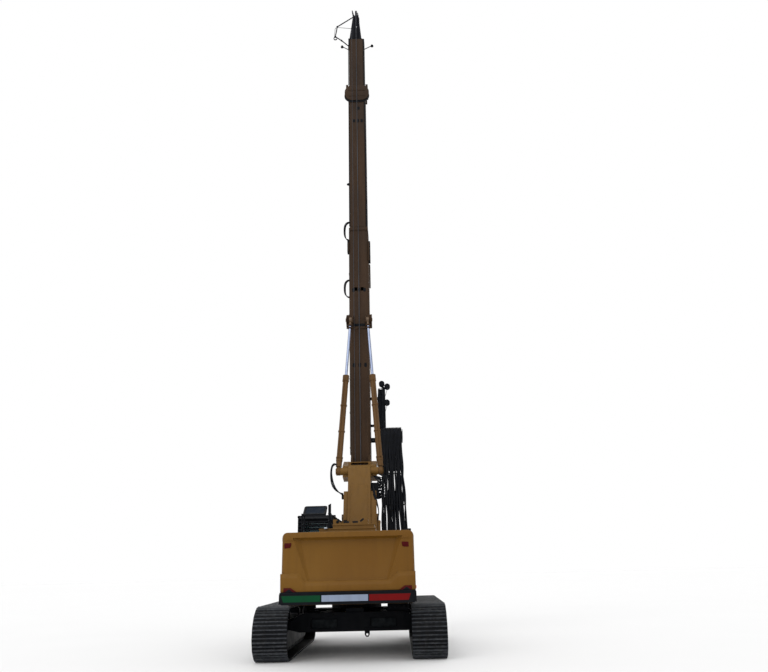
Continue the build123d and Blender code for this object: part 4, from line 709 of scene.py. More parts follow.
def sprocketWheel(side):
    middle = Vector((side * trackShoe["side"], ahead(-wheelLook["reach"]), wheelLook["height"]))
    across = Vector((1, 0, 0))
    places = wheelLook["teeth"] * 2  # a tooth on every second face
    ring = roundStart(
        "ring", middle - across * wheelLook["half"], middle + across * wheelLook["half"], wheelLook["root"], places
    )
    number = {}
    for face in ring.data.polygons:
        if abs(face.normal.x) < 0.5:
            flat = Vector(face.center) - middle
            number[round(math.atan2(flat.z, flat.y) / math.tau * places)] = face.index
    wanted = {index for place, index in number.items() if place % 2 == 0}
    makeActive(ring)
    bpy.ops.object.mode_set(mode="EDIT")
    bpy.ops.mesh.select_mode(type="FACE")
    bpy.ops.mesh.select_all(action="DESELECT")
    shape = bmesh.from_edit_mesh(ring.data)
    for face in shape.faces:
        face.select_set(face.index in wanted)
    bmesh.update_edit_mesh(ring.data)
    bpy.ops.mesh.extrude_faces_move(TRANSFORM_OT_shrink_fatten={"value": wheelLook["tooth"]})
    bpy.ops.mesh.inset(thickness=0.008, depth=0.012, use_individual=True)
    leaveEdit()
    insetFaces(ring, lambda place, normal: abs(normal.x) > 0.9 and (place - middle).length < 0.1, 0.06, -0.012)
    roundEdges(ring, 0.004, 1)
    parts = [ring]
    for start, end, radius in ((-0.146, 0.146, wheelLook["hub"]), (-0.16, 0.16, wheelLook["hub"] * 0.62)):
        hub = roundStart("hub", middle + across * start, middle + across * end, radius, 40)
        parts.append(roundEdges(hub, 0.012, 2))
    bolts = []
    for count, radius, out in ((18, 0.3, wheelLook["half"] - 0.013), (12, wheelLook["hub"] * 0.82, 0.146)):
        for step in range(count):
            angle = math.tau * step / count
            for way in (-1, 1):
                place = middle + Vector((way * out, radius * math.cos(angle), radius * math.sin(angle)))
                bolts.append((place, (way, 0, 0)))
    parts.append(spread("bolts", boltPattern(wheelLook["bolt"]), bolts))
    return joinAll("wheel", parts)


sprocketPair = coat(joinAll("driveSprockets", [sprocketWheel(-1), sprocketWheel(1)]), shoeSteel)
hand(sprocketPair, "undercarriage", ("sprockets",))


def idlerWheel(side):
    middle = Vector((side * trackShoe["side"], ahead(wheelLook["reach"]), wheelLook["height"]))
    across = Vector((1, 0, 0))
    look = wheelLook
    rim = roundStart("rim", middle - across * look["rimHalf"], middle + across * look["rimHalf"], look["rim"], 48)
    insetFaces(rim, lambda place, normal: abs(normal.x) > 0.9, 0.06, -0.035)
    insetFaces(rim, lambda place, normal: abs(normal.x) > 0.9 and (place - middle).length < 0.2, 0.2, 0.02)
    parts = [roundEdges(rim, 0.008, 2)]
    flange = roundStart(
        "flange", middle - across * look["flangeHalf"], middle + across * look["flangeHalf"], look["flange"], 48
    )
    parts.append(roundEdges(flange, 0.008, 2))
    hub = roundStart(
        "hub", middle - across * look["idlerHubHalf"], middle + across * look["idlerHubHalf"], look["idlerHub"], 32
    )
    parts.append(roundEdges(hub, 0.01, 2))
    return joinAll("wheel", parts)


idlerPair = coat(joinAll("frontIdlers", [idlerWheel(-1), idlerWheel(1)]), shoeSteel)
hand(idlerPair, "undercarriage", ("idlers",))

# undercarriage details
underLook = {
    "caps": (-0.75, -0.52, 0.52, 0.75), "capHigh": 0.9, "ringRadius": 0.63, "ringTop": 1.134, "ringBolts": 36,
    "ringBolt": 0.02, "brackets": (-1.02, 0.98), "unions": (0.92, 1.04, 1.16, 1.28), "unionHigh": 1.06,
    "hose": 0.017, "hoseShifts": (0.0, 0.05, 0.1),
}
underParts = []
for x in underLook["caps"]:  # small caps along the beam's top edge
    cap = roundStart(
        "cap", (x, ahead(-1.285), underLook["capHigh"]), (x, ahead(-1.3), underLook["capHigh"]), 0.022, 12
    )
    underParts.append(roundEdges(cap, 0.003, 1))
ringBolts = []
for step in range(underLook["ringBolts"]):
    angle = math.tau * step / underLook["ringBolts"]
    radius = underLook["ringRadius"]
    place = (radius * math.cos(angle), ahead(0) + radius * math.sin(angle), underLook["ringTop"])
    ringBolts.append((place, (0, 0, 1)))
hoseCover = cubeStart("hoseCover", (-0.2, ahead(-1.30), 0.93), (0.24, ahead(-0.72), 1.06))
insetFaces(hoseCover, lambda place, normal: normal.y < -0.9, 0.03, -0.012)
underParts.append(roundEdges(hoseCover, 0.01, 2))
for x in underLook["brackets"]:  # rounded hose clamps where the beam meets the track frame
    bracket = cubeStart("bracket", (x - 0.16, ahead(-1.2), 0.9), (x + 0.16, ahead(-0.98), 0.985))
    insetFaces(bracket, lambda place, normal: normal.z > 0.9, 0.03, 0.02)
    underParts.append(roundEdges(bracket, 0.012, 2))
# hose block on the beam's right, with its unions
manifold = cubeStart("manifold", (0.84, ahead(-1.24), 0.94), (1.36, ahead(-0.98), 1.13))
insetFaces(manifold, lambda place, normal: normal.y < -0.9, 0.03, -0.012)
underParts.append(roundEdges(manifold, 0.012, 2))
for x in underLook["unions"]:
    z = underLook["unionHigh"]
    underParts.append(roundStart("union", (x, ahead(-1.3), z), (x, ahead(-1.2), z), 0.026, 12))
swivelHoses = []
for side in (-1, 1):
    for shift in underLook["hoseShifts"]:
        swivelHoses.append(placed(
            (side * 0.3, -0.6 + shift, 0.985), (side * 0.7, -0.72 + shift, 1.04), (side * 1.1, -0.9 + shift, 0.95),
            (side * 1.5, -1.2 + shift, 0.86), (side * 1.62, -1.7, 0.74),
        ))
underHoses = coat(hoseRuns("carbodyHoses", swivelHoses, underLook["hose"]), hoseRubber)
hand(underHoses, "undercarriage")
underDetail = coat(joinAll("carbodyFittings", underParts), blackPaint)
hand(underDetail, "undercarriage")
slewBolts = coat(spread("slewRingBolts", boltPattern(underLook["ringBolt"]), ringBolts), bareSteel)
hand(slewBolts, "undercarriage")

# track frames: roller caps and side steps outside, dusty plates in the beam's pockets
frameLook = {
    "outer": 2.01, "rollers": 9, "rollerPitch": 0.4, "rollerHigh": 0.265, "cap": 0.05, "capProud": 0.018,
    "steps": (-1.4, -0.5, 0.5, 1.4), "stepHalf": 0.16, "stepDeep": 0.11, "stepHigh": (0.6, 0.66),
    "pockets": (-0.74, 0.74), "pocketHalf": 0.31, "pocketHigh": (0.58, 0.8),
}
frameParts = []
for side in (-1, 1):
    outer = side * frameLook["outer"]
    for number in range(frameLook["rollers"]):
        y, z = ahead((number - 4) * frameLook["rollerPitch"]), frameLook["rollerHigh"]
        cap = roundStart("cap", (outer, y, z), (outer + side * frameLook["capProud"], y, z), frameLook["cap"], 16)
        insetFaces(cap, lambda place, normal: abs(normal.x) > 0.9, 0.014, -0.004)
        frameParts.append(cap)
    reachOut = outer + side * frameLook["stepDeep"]
    for reach in frameLook["steps"]:
        low = (min(outer, reachOut), ahead(reach) - frameLook["stepHalf"], frameLook["stepHigh"][0])
        high = (max(outer, reachOut), ahead(reach) + frameLook["stepHalf"], frameLook["stepHigh"][1])
        frameParts.append(roundEdges(openFrame("step", low, high, 2, 0.03), 0.006, 1))
pocketParts = []
for x in frameLook["pockets"]:
    across = (x - frameLook["pocketHalf"], x + frameLook["pocketHalf"])
    pocketParts.append(slab("pocket", across, (-1.205, -1.185), frameLook["pocketHigh"], 0.02))
hand(coat(joinAll("pocketPlates", pocketParts), pocketDust), "undercarriage")
rollerCaps = coat(joinAll("trackFrameFittings", frameParts), blackPaint)
hand(rollerCaps, "undercarriage")
print("undercarriage built")

# counterweight: rounded body, crease under the lip, sunken panel, stepped lower band
weightLook = {
    "half": 1.52, "low": 1.51, "high": 2.79, "rear": -3.4, "front": -2.62, "corner": 0.13, "set": 0.06,
    "lip": 2.63, "panelTop": 1.25, "panelLow": 0.9, "panelHigh": 2.67, "panelBase": 1.69, "sink": 0.12,
    "shallow": 0.045, "narrowTop": 0.865, "narrowLow": 0.96, "facet": 0.052, "facetDrop": 0.035,
    "bandHigh": 1.9, "bandMiddle": 1.735, "bandOuter": 1.12, "bandInner": 0.95,
}


def counterweightBody():
    look = weightLook
    rear = ahead(look["rear"]) + look["set"]
    high = (look["half"] - 0.01, ahead(look["front"]), look["high"])
    body = cubeStart("body", (-look["half"] + 0.01, rear, look["low"]), high)
    for height in (look["lip"], look["lip"] - 0.035, 1.98):
        cutAt(body, (0, 0, height), (0, 0, 1))
    movePoints(body, lambda p: p.z > look["lip"] - 0.001 and p.y < rear + 0.01, (0, -0.03, 0))

    def roundCorner(first, last):  # along the sides' tops and down the rear corners
        sideTop = min(first.z, last.z) > look["high"] - 0.01 and abs(first.x - last.x) < 0.01
        outside = min(abs(first.x), abs(last.x)) > 1.4 and abs(first.x - last.x) < 0.05
        return sideTop or (outside and max(first.y, last.y) < rear + 0.02)

    bevelEdges(body, roundCorner, look["corner"], 6)
    return roundEdges(body, 0.022, 3, 24)


def weightPanel():
    # the sunken field: a tapered dish, deeper and with broader slopes towards its top
    look = weightLook
    rear = ahead(look["rear"]) + look["set"]
    high = (look["panelTop"], rear + look["sink"], look["panelHigh"])
    plate = cubeStart("cutter", (-look["panelTop"], rear - 0.2, look["panelBase"]), high)
    cutAt(plate, (0, rear, 0), (0, 1, 0))
    slope = look["panelLow"] / look["panelTop"]
    pickPoints(plate, lambda p: p.z < look["panelBase"] + 0.01)
    bpy.ops.transform.resize(value=(slope, 1, 1), center_override=(0, 0, look["panelBase"]))
    leaveEdit()
    pickPoints(plate, lambda p: p.y > rear + 0.01 and p.z > look["panelBase"] + 0.1)
    bpy.ops.transform.resize(value=(look["narrowTop"], 1, 1), center_override=(0, rear, look["panelHigh"]))
    bpy.ops.transform.translate(value=(0, 0, -0.05))
    leaveEdit()
    pickPoints(plate, lambda p: p.y > rear + 0.01 and p.z < look["panelBase"] + 0.1)
    bpy.ops.transform.resize(value=(look["narrowLow"], 1, 1), center_override=(0, rear, look["panelBase"]))
    bpy.ops.transform.translate(value=(0, look["shallow"] - look["sink"], 0.06))
    leaveEdit()
    return roundEdges(plate, 0.014, 3, 15)


def weightBand():
    look = weightLook
    rear = ahead(look["rear"])
    band = cubeStart("band", (-look["half"], rear, look["low"]), (look["half"], rear + 0.3, look["bandHigh"]))
    for x in (-look["bandOuter"], -look["bandInner"], look["bandInner"], look["bandOuter"]):
        cutAt(band, (x, 0, 0), (1, 0, 0))
    drop = look["bandMiddle"] - look["bandHigh"]
    movePoints(band, lambda p: p.z > look["bandHigh"] - 0.01 and abs(p.x) < look["bandInner"] + 0.01, (0, 0, drop))

    def upperEdge(first, last):
        return max(first.y, last.y) < rear + 0.01 and min(first.z, last.z) > look["bandMiddle"] - 0.01

    def rearCorner(first, last):
        outside = min(abs(first.x), abs(last.x)) > 1.4 and abs(first.x - last.x) < 0.02
        return outside and max(first.y, last.y) < rear + 0.04

    bevelEdges(band, upperEdge, look["facet"])  # the broad facet along the band's top
    movePoints(band, lambda p: p.y < rear + 0.01 and p.z > look["low"] + 0.1, (0, 0, -look["facetDrop"]))
    movePoints(band, lambda p: p.z < look["low"] + 0.01 and p.y < rear + 0.01, (0, 0.006, 0))
    bevelEdges(band, rearCorner, look["corner"] * 0.8, 5)
    return roundEdges(band, 0.012, 2, 20)


def carve(body, cutter):
    cut = body.modifiers.new("carve", "BOOLEAN")
    cut.operation = "DIFFERENCE"
    cut.object = cutter
    cut.solver = "EXACT"
    makeActive(body)
    bpy.ops.object.modifier_apply(modifier=cut.name)
    bpy.data.objects.remove(cutter)
    return body


weightBody = carve(counterweightBody(), weightPanel())
weightPiece = coat(joinAll("counterweightCasting", [weightBody, weightBand()]), weightYellow)
hand(weightPiece, "upper", ("counterweight",), 40)

leftLamp = {"x": 1.365, "z": 2.5, "halfWidth": 0.083, "halfHigh": 0.06, "proud": 0.022}
rightLamp = {"x": 1.31, "z": 2.475, "halfWidth": 0.083, "halfHigh": 0.06, "proud": 0.022}


def tailLamp(side, look):
    rear = ahead(weightLook["rear"]) + weightLook["set"]
    low = (side * look["x"] - look["halfWidth"], rear - look["proud"], look["z"] - look["halfHigh"])
    high = (side * look["x"] + look["halfWidth"], rear + 0.09, look["z"] + look["halfHigh"])
    lamp = cubeStart("lamp", low, high)
    inner = side * (look["x"] - look["halfWidth"])
    movePoints(lamp, lambda p: abs(p.x - inner) < 0.01 and p.z < look["z"], (side * 0.02, 0, 0.018))
    movePoints(lamp, lambda p: abs(p.x) > look["x"] and p.y < rear, (0, 0.02, 0))
    return roundEdges(lamp, 0.014, 3)


tailLamps = coat(joinAll("tailLamps", [tailLamp(-1, leftLamp), tailLamp(1, rightLamp)]), lampRed)
hand(tailLamps, "upper")

cornerLook = {
    "inner": 1.14, "outer": 1.43, "low": 1.515, "high": 1.6, "slant": 0.13, "wedge": 1.31, "wedgeHalf": 0.09,
    "wedgeHigh": 1.57,
}
cornerParts = []
for side in (-1, 1):  # red corner reflectors in the foot of the band, each with a black wedge
    look = cornerLook
    rear = ahead(weightLook["rear"])
    left, right = sorted((side * look["inner"], side * look["outer"]))
    reflector = cubeStart("reflector", (left, rear - 0.012, look["low"]), (right, rear + 0.05, look["high"]))
    movePoints(reflector, lambda p: abs(p.x) < 1.2 and p.z > 1.55, (side * look["slant"], 0, 0))
    cornerParts.append(coat(roundEdges(reflector, 0.006, 2), lampRed))
    x = side * look["wedge"]
    low = (x - look["wedgeHalf"], rear - 0.018, look["low"] - 0.003)
    wedge = cubeStart("wedge", low, (x + look["wedgeHalf"], rear + 0.05, look["wedgeHigh"]))
    movePoints(wedge, lambda p: p.z > 1.55 and p.x - x < 0, (0.075, 0, 0))
    movePoints(wedge, lambda p: p.z > 1.55 and p.x - x > 0.05, (-0.075, 0, 0))
    cornerParts.append(coat(roundEdges(wedge, 0.004, 1), blackPaint))
corners = joinAll("cornerReflectors", cornerParts)
hand(corners, "upper")
marker = cubeStart("sideMarker", (1.475, ahead(-3.18), 1.53), (1.53, ahead(-3.08), 1.6))
insetFaces(marker, lambda place, normal: normal.x > 0.9, 0.012, 0.008)
coat(roundEdges(marker, 0.008, 2), lampAmber)
hand(marker, "upper")
print("counterweight built")

# bumper stripes, each a thin plate with its own colour
stripeLook = {"rear": -3.42, "low": 1.302, "high": 1.437, "thick": 0.004}
stripes = (
    ("stripeLeft", -1.478, -0.603, stripeGreen, (-1.478, 0.05)),
    ("stripeMiddle", -0.578, 0.452, stripeWhite, None),
    ("stripeRight", 0.476, 1.4, stripeRed, (1.4, -0.05)),
)
for name, left, right, finish, slant in stripes:
    rear = ahead(stripeLook["rear"])
    low = (left, rear - stripeLook["thick"], stripeLook["low"])
    stripe = cubeStart(name, low, (right, rear + 0.004, stripeLook["high"]))
    if slant:
        movePoints(stripe, lambda p: abs(p.x - slant[0]) < 0.01 and p.z < 1.35, (slant[1], 0, 0))
    for x in [left + step * 0.2 for step in range(1, int((right - left) / 0.2))]:
        cutAt(stripe, (x, 0, 0), (1, 0, 0))
    coat(roundEdges(stripe, 0.0015, 1), finish)
    hand(stripe, "upper")
bumperParts = []
for side in (-1, 1):
    left, right = sorted((side * 1.5, side * 1.524))
    cap = cubeStart("cap", (left, ahead(-3.424), 1.262), (right, ahead(-3.19), 1.47))
    insetFaces(cap, lambda place, normal: abs(normal.x) > 0.9, 0.02, -0.004)
    bumperParts.append(roundEdges(cap, 0.006, 2))
for half, low, high in ((1.515, 1.466, 1.508), (1.47, 1.247, 1.262)):
    edge = cubeStart("edge", (-half, ahead(-3.426), low), (half, ahead(-3.18), high))
    bumperParts.append(roundEdges(edge, 0.004, 2))
plugs = [((x, ahead(-3.42), z), (0, -1, 0)) for x in (-1.5, -0.59, 0.464, 1.49) for z in (1.29, 1.45)]
bumperParts.append(spread("plugs", boltPattern(0.012), plugs))
# black apron on the deck's rear edge
bumperParts.append(slab("skirt", (-1.446, 1.446), (-2.614, -2.602), (1.203, 1.32), 0.003))
bumperTrim = coat(joinAll("bumperTrim", bumperParts), blackPaint)
hand(bumperTrim, "upper")
print("bumper built")

# engine house: side doors with seams and latches, roof plates, raised lips
houseLook = {
    "half": 1.48, "low": 1.56, "high": 2.66, "proud": 0.008, "roof": 2.76, "doors": ((-2.56, -1.98), (-1.95, -1.4)),
    "latch": (2.05, 2.17), "hinges": (1.75, 2.5), "hinge": 0.012, "hingeLong": 0.09,
}
houseParts, latchParts = [], []
for side in (-1, 1):
    wall = side * houseLook["half"]
    for rear, front in houseLook["doors"]:
        across = (wall - side * 0.01, wall + side * houseLook["proud"])
        door = slab("door", across, (rear, front), (houseLook["low"], houseLook["high"]))
        insetFaces(door, lambda place, normal: normal.x * side > 0.9, 0.05, -0.003)
        houseParts.append(door)
        latchParts.append(
            slab("latch", (wall, wall + side * 0.02), (front - 0.09, front - 0.03), houseLook["latch"])
        )
        x, y = wall + side * 0.01, ahead(rear)
        for z in houseLook["hinges"]:
            top = (x, y, z + houseLook["hingeLong"])
            latchParts.append(roundStart("hinge", (x, y, z), top, houseLook["hinge"], 12))
    up = (houseLook["low"] + 0.1, houseLook["high"] - 0.02)
    panel = slab("panel", (wall - side * 0.01, wall + side * 0.006), (-1.37, -0.83), up)
    insetFaces(panel, lambda place, normal: normal.x * side > 0.9, 0.03, -0.004)
    houseParts.append(panel)
for across in ((-1.42, -0.84), (0.68, 1.42)):
    for along in ((-2.54, -1.68), (-1.64, -0.78)):
        plate = slab("plate", across, along, (houseLook["roof"] - 0.01, houseLook["roof"] + 0.008), 0.004)
        insetFaces(plate, lambda place, normal: normal.z > 0.9, 0.035, 0.005)
        houseParts.append(plate)
for across, reach, high in (((-0.772, 0.622), -2.35, 2.91), ((-0.442, 0.592), -2.33, 3.0)):
    houseParts.append(slab("lip", across, (reach - 0.014, reach + 0.03), (high - 0.02, high + 0.006), 0.004))
hood = coat(joinAll("engineHouseDoors", houseParts), bodyYellow)
hand(hood, "upper")
latches = coat(joinAll("engineHouseLatches", latchParts), blackPaint)
hand(latches, "upper")
deckLamp = slab("deckLamp", (-0.64, -0.56), (-2.42, -2.3), (2.905, 2.945), 0.01)
insetFaces(deckLamp, lambda place, normal: normal.y < -0.9, 0.008, -0.004)
hand(coat(deckLamp, lampLens), "upper")

# cradle: dark gusset with a hole on the left arm
cradleParts = [
    slab("arm", (-0.5, -0.47), (-2.24, -2.16), (3.05, 3.27), 0.005),
    slab("arm", (-0.5, -0.33), (-2.24, -2.16), (3.09, 3.13), 0.005),
]
# a black disc in place of the hole: painted shade of its inside
cradleParts.append(roundStart("hole", (-0.32, ahead(-2.3), 3.07), (-0.32, ahead(-2.28), 3.07), 0.035, 20))
cradleFittings = coat(joinAll("cradleFittings", cradleParts), blackPaint)
hand(cradleFittings, "upper")

# exhaust: pipe with a slanting open end, a clamp and a heat shield at its foot
exhaustLook = {
    "x": -0.562, "reach": -1.8, "low": 2.905, "high": 3.54, "radius": 0.037, "wall": 0.006, "slant": 0.55,
}


def exhaustPipe():
    look = exhaustLook
    x, y = look["x"], ahead(look["reach"])
    pipe = roundStart("pipe", (x, y, look["low"]), (x, y, look["high"]), look["radius"], 32)
    pickFaces(pipe, lambda middle, normal: normal.z > 0.9)
    bpy.ops.mesh.inset(thickness=look["wall"])
    bpy.ops.mesh.inset(thickness=0.0001, depth=-0.2)
    leaveEdit()
    for point in pipe.data.vertices:
        if point.co.z > look["high"] - 0.05:
            point.co.z += (point.co.x - x) * look["slant"]
    base = tube("base", (x, y, look["low"]), (x, y, 3.07), 0.074, 0.045)
    insetFaces(base, lambda place, normal: normal.z > 0.9, 0.004, -0.004)
    parts = [pipe, roundEdges(base, 0.006, 2)]
    for height in (3.12, 3.3):
        parts.append(roundEdges(tube("clamp", (x, y, height), (x, y, height + 0.025), 0.044, 0.034), 0.003, 1))
    return joinAll("exhaustPipe", parts)


hand(coat(exhaustPipe(), blackPaint), "upper", ("exhaust",))

# roof hatch: black frame with round corners round a slate-blue panel, laid flat and then turned open
hatchLook = {
    "left": -1.56, "right": -0.89, "long": 0.534, "high": 0.035, "under": -0.012, "border": 0.062, "open": 31,
}
low, high = (hatchLook["left"], 0, hatchLook["under"]), (hatchLook["right"], hatchLook["long"], hatchLook["high"])
hatchFrame = roundedPlate("frame", low, high, 2, 0.075)
pickFaces(hatchFrame, lambda middle, normal: abs(normal.z) > 0.9)
bpy.ops.mesh.inset(thickness=hatchLook["border"])
bpy.ops.mesh.bridge_edge_loops()
leaveEdit()
border = hatchLook["border"] - 0.006
high = (hatchLook["right"] - border, hatchLook["long"] - border, 0.024)
hatchPanel = cubeStart("panel", (hatchLook["left"] + border, border, 0.0), high)
insetFaces(hatchPanel, lambda place, normal: abs(normal.z) > 0.9, 0.02, 0.003)
bracket = cubeStart("bracket", (-1.5, 0.03, -0.016), (-1.43, 0.1, 0.0))
movePoints(bracket, lambda p: p.x > -1.44 and p.y > 0.09, (-0.065, 0, 0))
knuckle = roundStart("knuckle", (hatchLook["left"], 0, 0), (hatchLook["right"], 0, 0), 0.012, 16)
gripBend = [(-1.3, 0.44, -0.01), (-1.3, 0.44, -0.05), (-1.15, 0.44, -0.05), (-1.15, 0.44, -0.01)]
grip = hoseRuns("grip", [gripBend], 0.008, 3)
hatchParts = [
    coat(roundEdges(hatchFrame, 0.005, 2), blackPaint), coat(hatchPanel, hatchBlue), coat(bracket, bodyYellow)
]
hatchParts += [coat(knuckle, blackPaint), coat(grip, blackPaint)]
hatchLid = joinAll("hatchLid", hatchParts)
turn = Matrix.Rotation(math.radians(hatchLook["open"]), 4, "X")
hatchLid.data.transform(Matrix.Translation((0, ahead(0.49), 3.45)) @ turn)
hand(hatchLid, "roof_hatch", ("roof_hatch",))

# cab: seat cushions, levers, door handle, roof lamps and wiper
cabLook = {
    "crown": 0.018, "lever": 0.33, "leverReach": 1.05, "lamps": (-1.48, -0.8), "lampHigh": (3.43, 3.55),
    "gutters": (-1.625, -0.635), "gutterHigh": (3.36, 3.4),
}
seatLow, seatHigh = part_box("seat")


def cushion(name, low, high, face, crown):
    # crowned block with rounded rims; face is the side that is sat on or leant against
    piece = cubeStart(name, low, high)
    middle = (Vector(low) + Vector(high)) / 2
    pickFaces(piece, lambda place, normal: True)
    bpy.ops.mesh.subdivide(number_cuts=9)
    bpy.ops.mesh.vertices_smooth(factor=0.5, repeat=5)
    leaveEdit()
    way = Vector(face)
    step = way * crown
    movePoints(piece, lambda p: (p - middle).dot(way) > 0.02 and abs(p.x - middle.x) < 0.14, step)
    movePoints(
        piece, lambda p: (p - middle).dot(way) > 0.02 and abs(abs(p.x - middle.x) - 0.17) < 0.02, -step * 0.8
    )
    pickFaces(piece, lambda place, normal: True)
    bpy.ops.mesh.vertices_smooth(factor=0.5, repeat=2)
    leaveEdit()
    soften = piece.modifiers.new("soften", "SUBSURF")
    soften.levels = 1
    makeActive(piece)
    bpy.ops.object.modifier_apply(modifier=soften.name)
    return coat(piece, seatCloth)


seatBase = cushion(
    "seatBase", (seatLow[0], ahead(0.42), 1.845), (seatHigh[0], ahead(0.96), 1.99), (0, 0, 1), cabLook["crown"]
)
hand(seatBase, "upper", ("seat",), 60)
seatBack = cushion(
    "seatBack", (seatLow[0] + 0.01, ahead(0.27), 1.97), (seatHigh[0] - 0.01, ahead(0.43), 2.69), (0, 1, 0),
    cabLook["crown"],
)
hand(seatBack, "upper", (), 60)
seatMiddle = (seatLow[0] + seatHigh[0]) / 2
seatFoot = slab("seatFoot", (seatMiddle - 0.19, seatMiddle + 0.19), (0.46, 0.9), (seatLow[2], 1.86), 0.02)
insetFaces(seatFoot, lambda place, normal: abs(normal.x) > 0.9, 0.04, -0.01)
hand(coat(seatFoot, trimPlastic), "upper")
leverParts = []
for side in (-1, 1):
    x, y = seatMiddle + side * cabLook["lever"], ahead(cabLook["leverReach"])
    leverParts.append(roundStart("boot", (x, y, 2.15), (x, y, 2.2), 0.045, 20, 0.02))
    grip = ballStart("grip", (x, y - 0.005, 2.35), 0.034)
    movePoints(grip, lambda p: p.z < 2.33, (0, 0.01, -0.04))
    leverParts.append(grip)
hand(coat(joinAll("controlLevers", leverParts), trimPlastic), "upper")
handleBend = placed((-1.62, 0.42, 2.35), (-1.665, 0.42, 2.35), (-1.665, 0.42, 2.15), (-1.62, 0.42, 2.15))
doorHandle = hoseRuns("doorHandle", [handleBend], 0.01, 3)
hand(coat(doorHandle, blackPaint), "cab_door")
cabParts, lensParts = [], []
for x in cabLook["lamps"]:
    lampShell = slab("lamp", (x - 0.07, x + 0.07), (1.78, 1.88), cabLook["lampHigh"], 0.015)
    cabParts += [lampShell, slab("foot", (x - 0.015, x + 0.015), (1.78, 1.82), (3.4, 3.44), 0.003)]
    lensParts.append(slab("lens", (x - 0.055, x + 0.055), (1.875, 1.885), (3.445, 3.535), 0.003))
wiperBend = placed((-1.0, 1.86, 1.95), (-1.05, 1.875, 2.4), (-1.1, 1.875, 2.95))
cabParts.append(hoseRuns("wiper", [wiperBend], 0.008, 3))
for x in cabLook["gutters"]:
    cabParts.append(slab("gutter", (x - 0.012, x + 0.012), (0.0, 1.85), cabLook["gutterHigh"], 0.004))
hand(coat(joinAll("cabFittings", cabParts), blackPaint), "upper")
hand(coat(joinAll("cabLampLenses", lensParts), lampLens), "upper")
print("house and cab built")

# tank house and locker: doors, filler cap, step treads and a mirror
tankLook = {
    "wall": (1.47, 1.488), "low": 1.56, "high": 2.4, "doors": ((-0.66, -0.06), (-0.02, 0.4), (0.44, 0.86)),
    "latch": (2.0, 2.12),
    "filler": (1.2, 0.3), "fillerHigh": (2.47, 2.53), "treads": ((1.32, 2.08), (1.65, 1.76)),
    "mirrorHigh": (2.72, 3.06),
}
tankParts, tankBlack = [], []
for rear, front in tankLook["doors"]:
    door = slab("door", tankLook["wall"], (rear, front), (tankLook["low"], tankLook["high"]))
    insetFaces(door, lambda place, normal: normal.x > 0.9, 0.045, -0.003)
    tankParts.append(door)
    tankBlack.append(slab("latch", (1.48, 1.5), (front - 0.08, front - 0.03), tankLook["latch"]))
door = slab("door", (-1.488, -1.47), (-0.66, -0.12), (1.56, 2.42))
insetFaces(door, lambda place, normal: normal.x < -0.9, 0.045, -0.003)
tankParts.append(door)
tankBlack.append(slab("latch", (-1.5, -1.48), (-0.21, -0.16), tankLook["latch"]))
(x, reach), (low, high) = tankLook["filler"], tankLook["fillerHigh"]
filler = roundStart("filler", (x, ahead(reach), low), (x, ahead(reach), high), 0.07, 32)
insetFaces(filler, lambda place, normal: normal.z > 0.9, 0.015, 0.012)
tankBlack.append(roundEdges(filler, 0.006, 2))
for reach, high in tankLook["treads"]:
    tread = slab("tread", (0.72, 1.42), (reach - 0.3, reach - 0.02), (high - 0.004, high + 0.006), 0.002)
    insetFaces(tread, lambda place, normal: normal.z > 0.9, 0.02, 0.003)
    tankBlack.append(tread)
armBend = placed((1.42, 0.84, 2.47), (1.44, 0.9, 2.8), (1.44, 0.98, 2.98))
tankBlack.append(hoseRuns("mirrorArm", [armBend], 0.013, 3))
tankBlack.append(slab("mirror", (1.34, 1.54), (0.96, 1.0), tankLook["mirrorHigh"], 0.018))
hand(coat(joinAll("tankHouseDoors", tankParts), bodyYellow), "upper")
hand(coat(joinAll("tankHouseFittings", tankBlack), blackPaint), "upper")

# boom: cover plate and cheek strips along its sloping rear face, tube caps, valve block and hoses
boomLook = {
    "footReach": 1.07, "footHigh": 1.95, "headReach": 1.985, "headHigh": 5.0, "cover": (0.5, 2.6),
    "strip": (1.5, 2.42),
}
rise = (boomLook["headReach"] - boomLook["footReach"], boomLook["headHigh"] - boomLook["footHigh"])
faceLine = Vector((0, *rise)).normalized()
faceTurn = Matrix((Vector((1, 0, 0)), faceLine, Vector((1, 0, 0)).cross(faceLine))).transposed().to_4x4()
facePlace = Matrix.Translation((0, ahead(boomLook["footReach"]), boomLook["footHigh"])) @ faceTurn
low, high = boomLook["cover"]
cover = roundedPlate("cover", (-0.27, low, -0.006), (0.27, high, 0.01), 2, 0.05)
insetFaces(cover, lambda place, normal: normal.z > 0.9, 0.03, 0.003)
rows = []
for x in (-0.24, 0.24):
    rows += [((x, low + 0.05 + step * (high - low - 0.1) / 8, 0.009), (0, 0, 1)) for step in range(9)]
boomParts = [cover, spread("bolts", boltPattern(0.013), rows)]
low, high = boomLook["strip"]
boomParts.append(roundEdges(cubeStart("strip", (-0.48, low, -0.14), (-0.345, high, -0.04)), 0.012, 2))
boomParts.append(roundEdges(cubeStart("strip", (0.345, low - 0.75, -0.16), (0.53, high, -0.05)), 0.012, 2))
rows = [((0.5, low - 0.7 + step * (high - low + 0.66) / 24, -0.05), (0, 0, 1)) for step in range(25)]
boomParts.append(spread("bolts", boltPattern(0.014), rows))
boomTrim = joinAll("boomTrim", boomParts)
boomTrim.data.transform(facePlace)
hand(coat(boomTrim, bodyYellow), "boom")

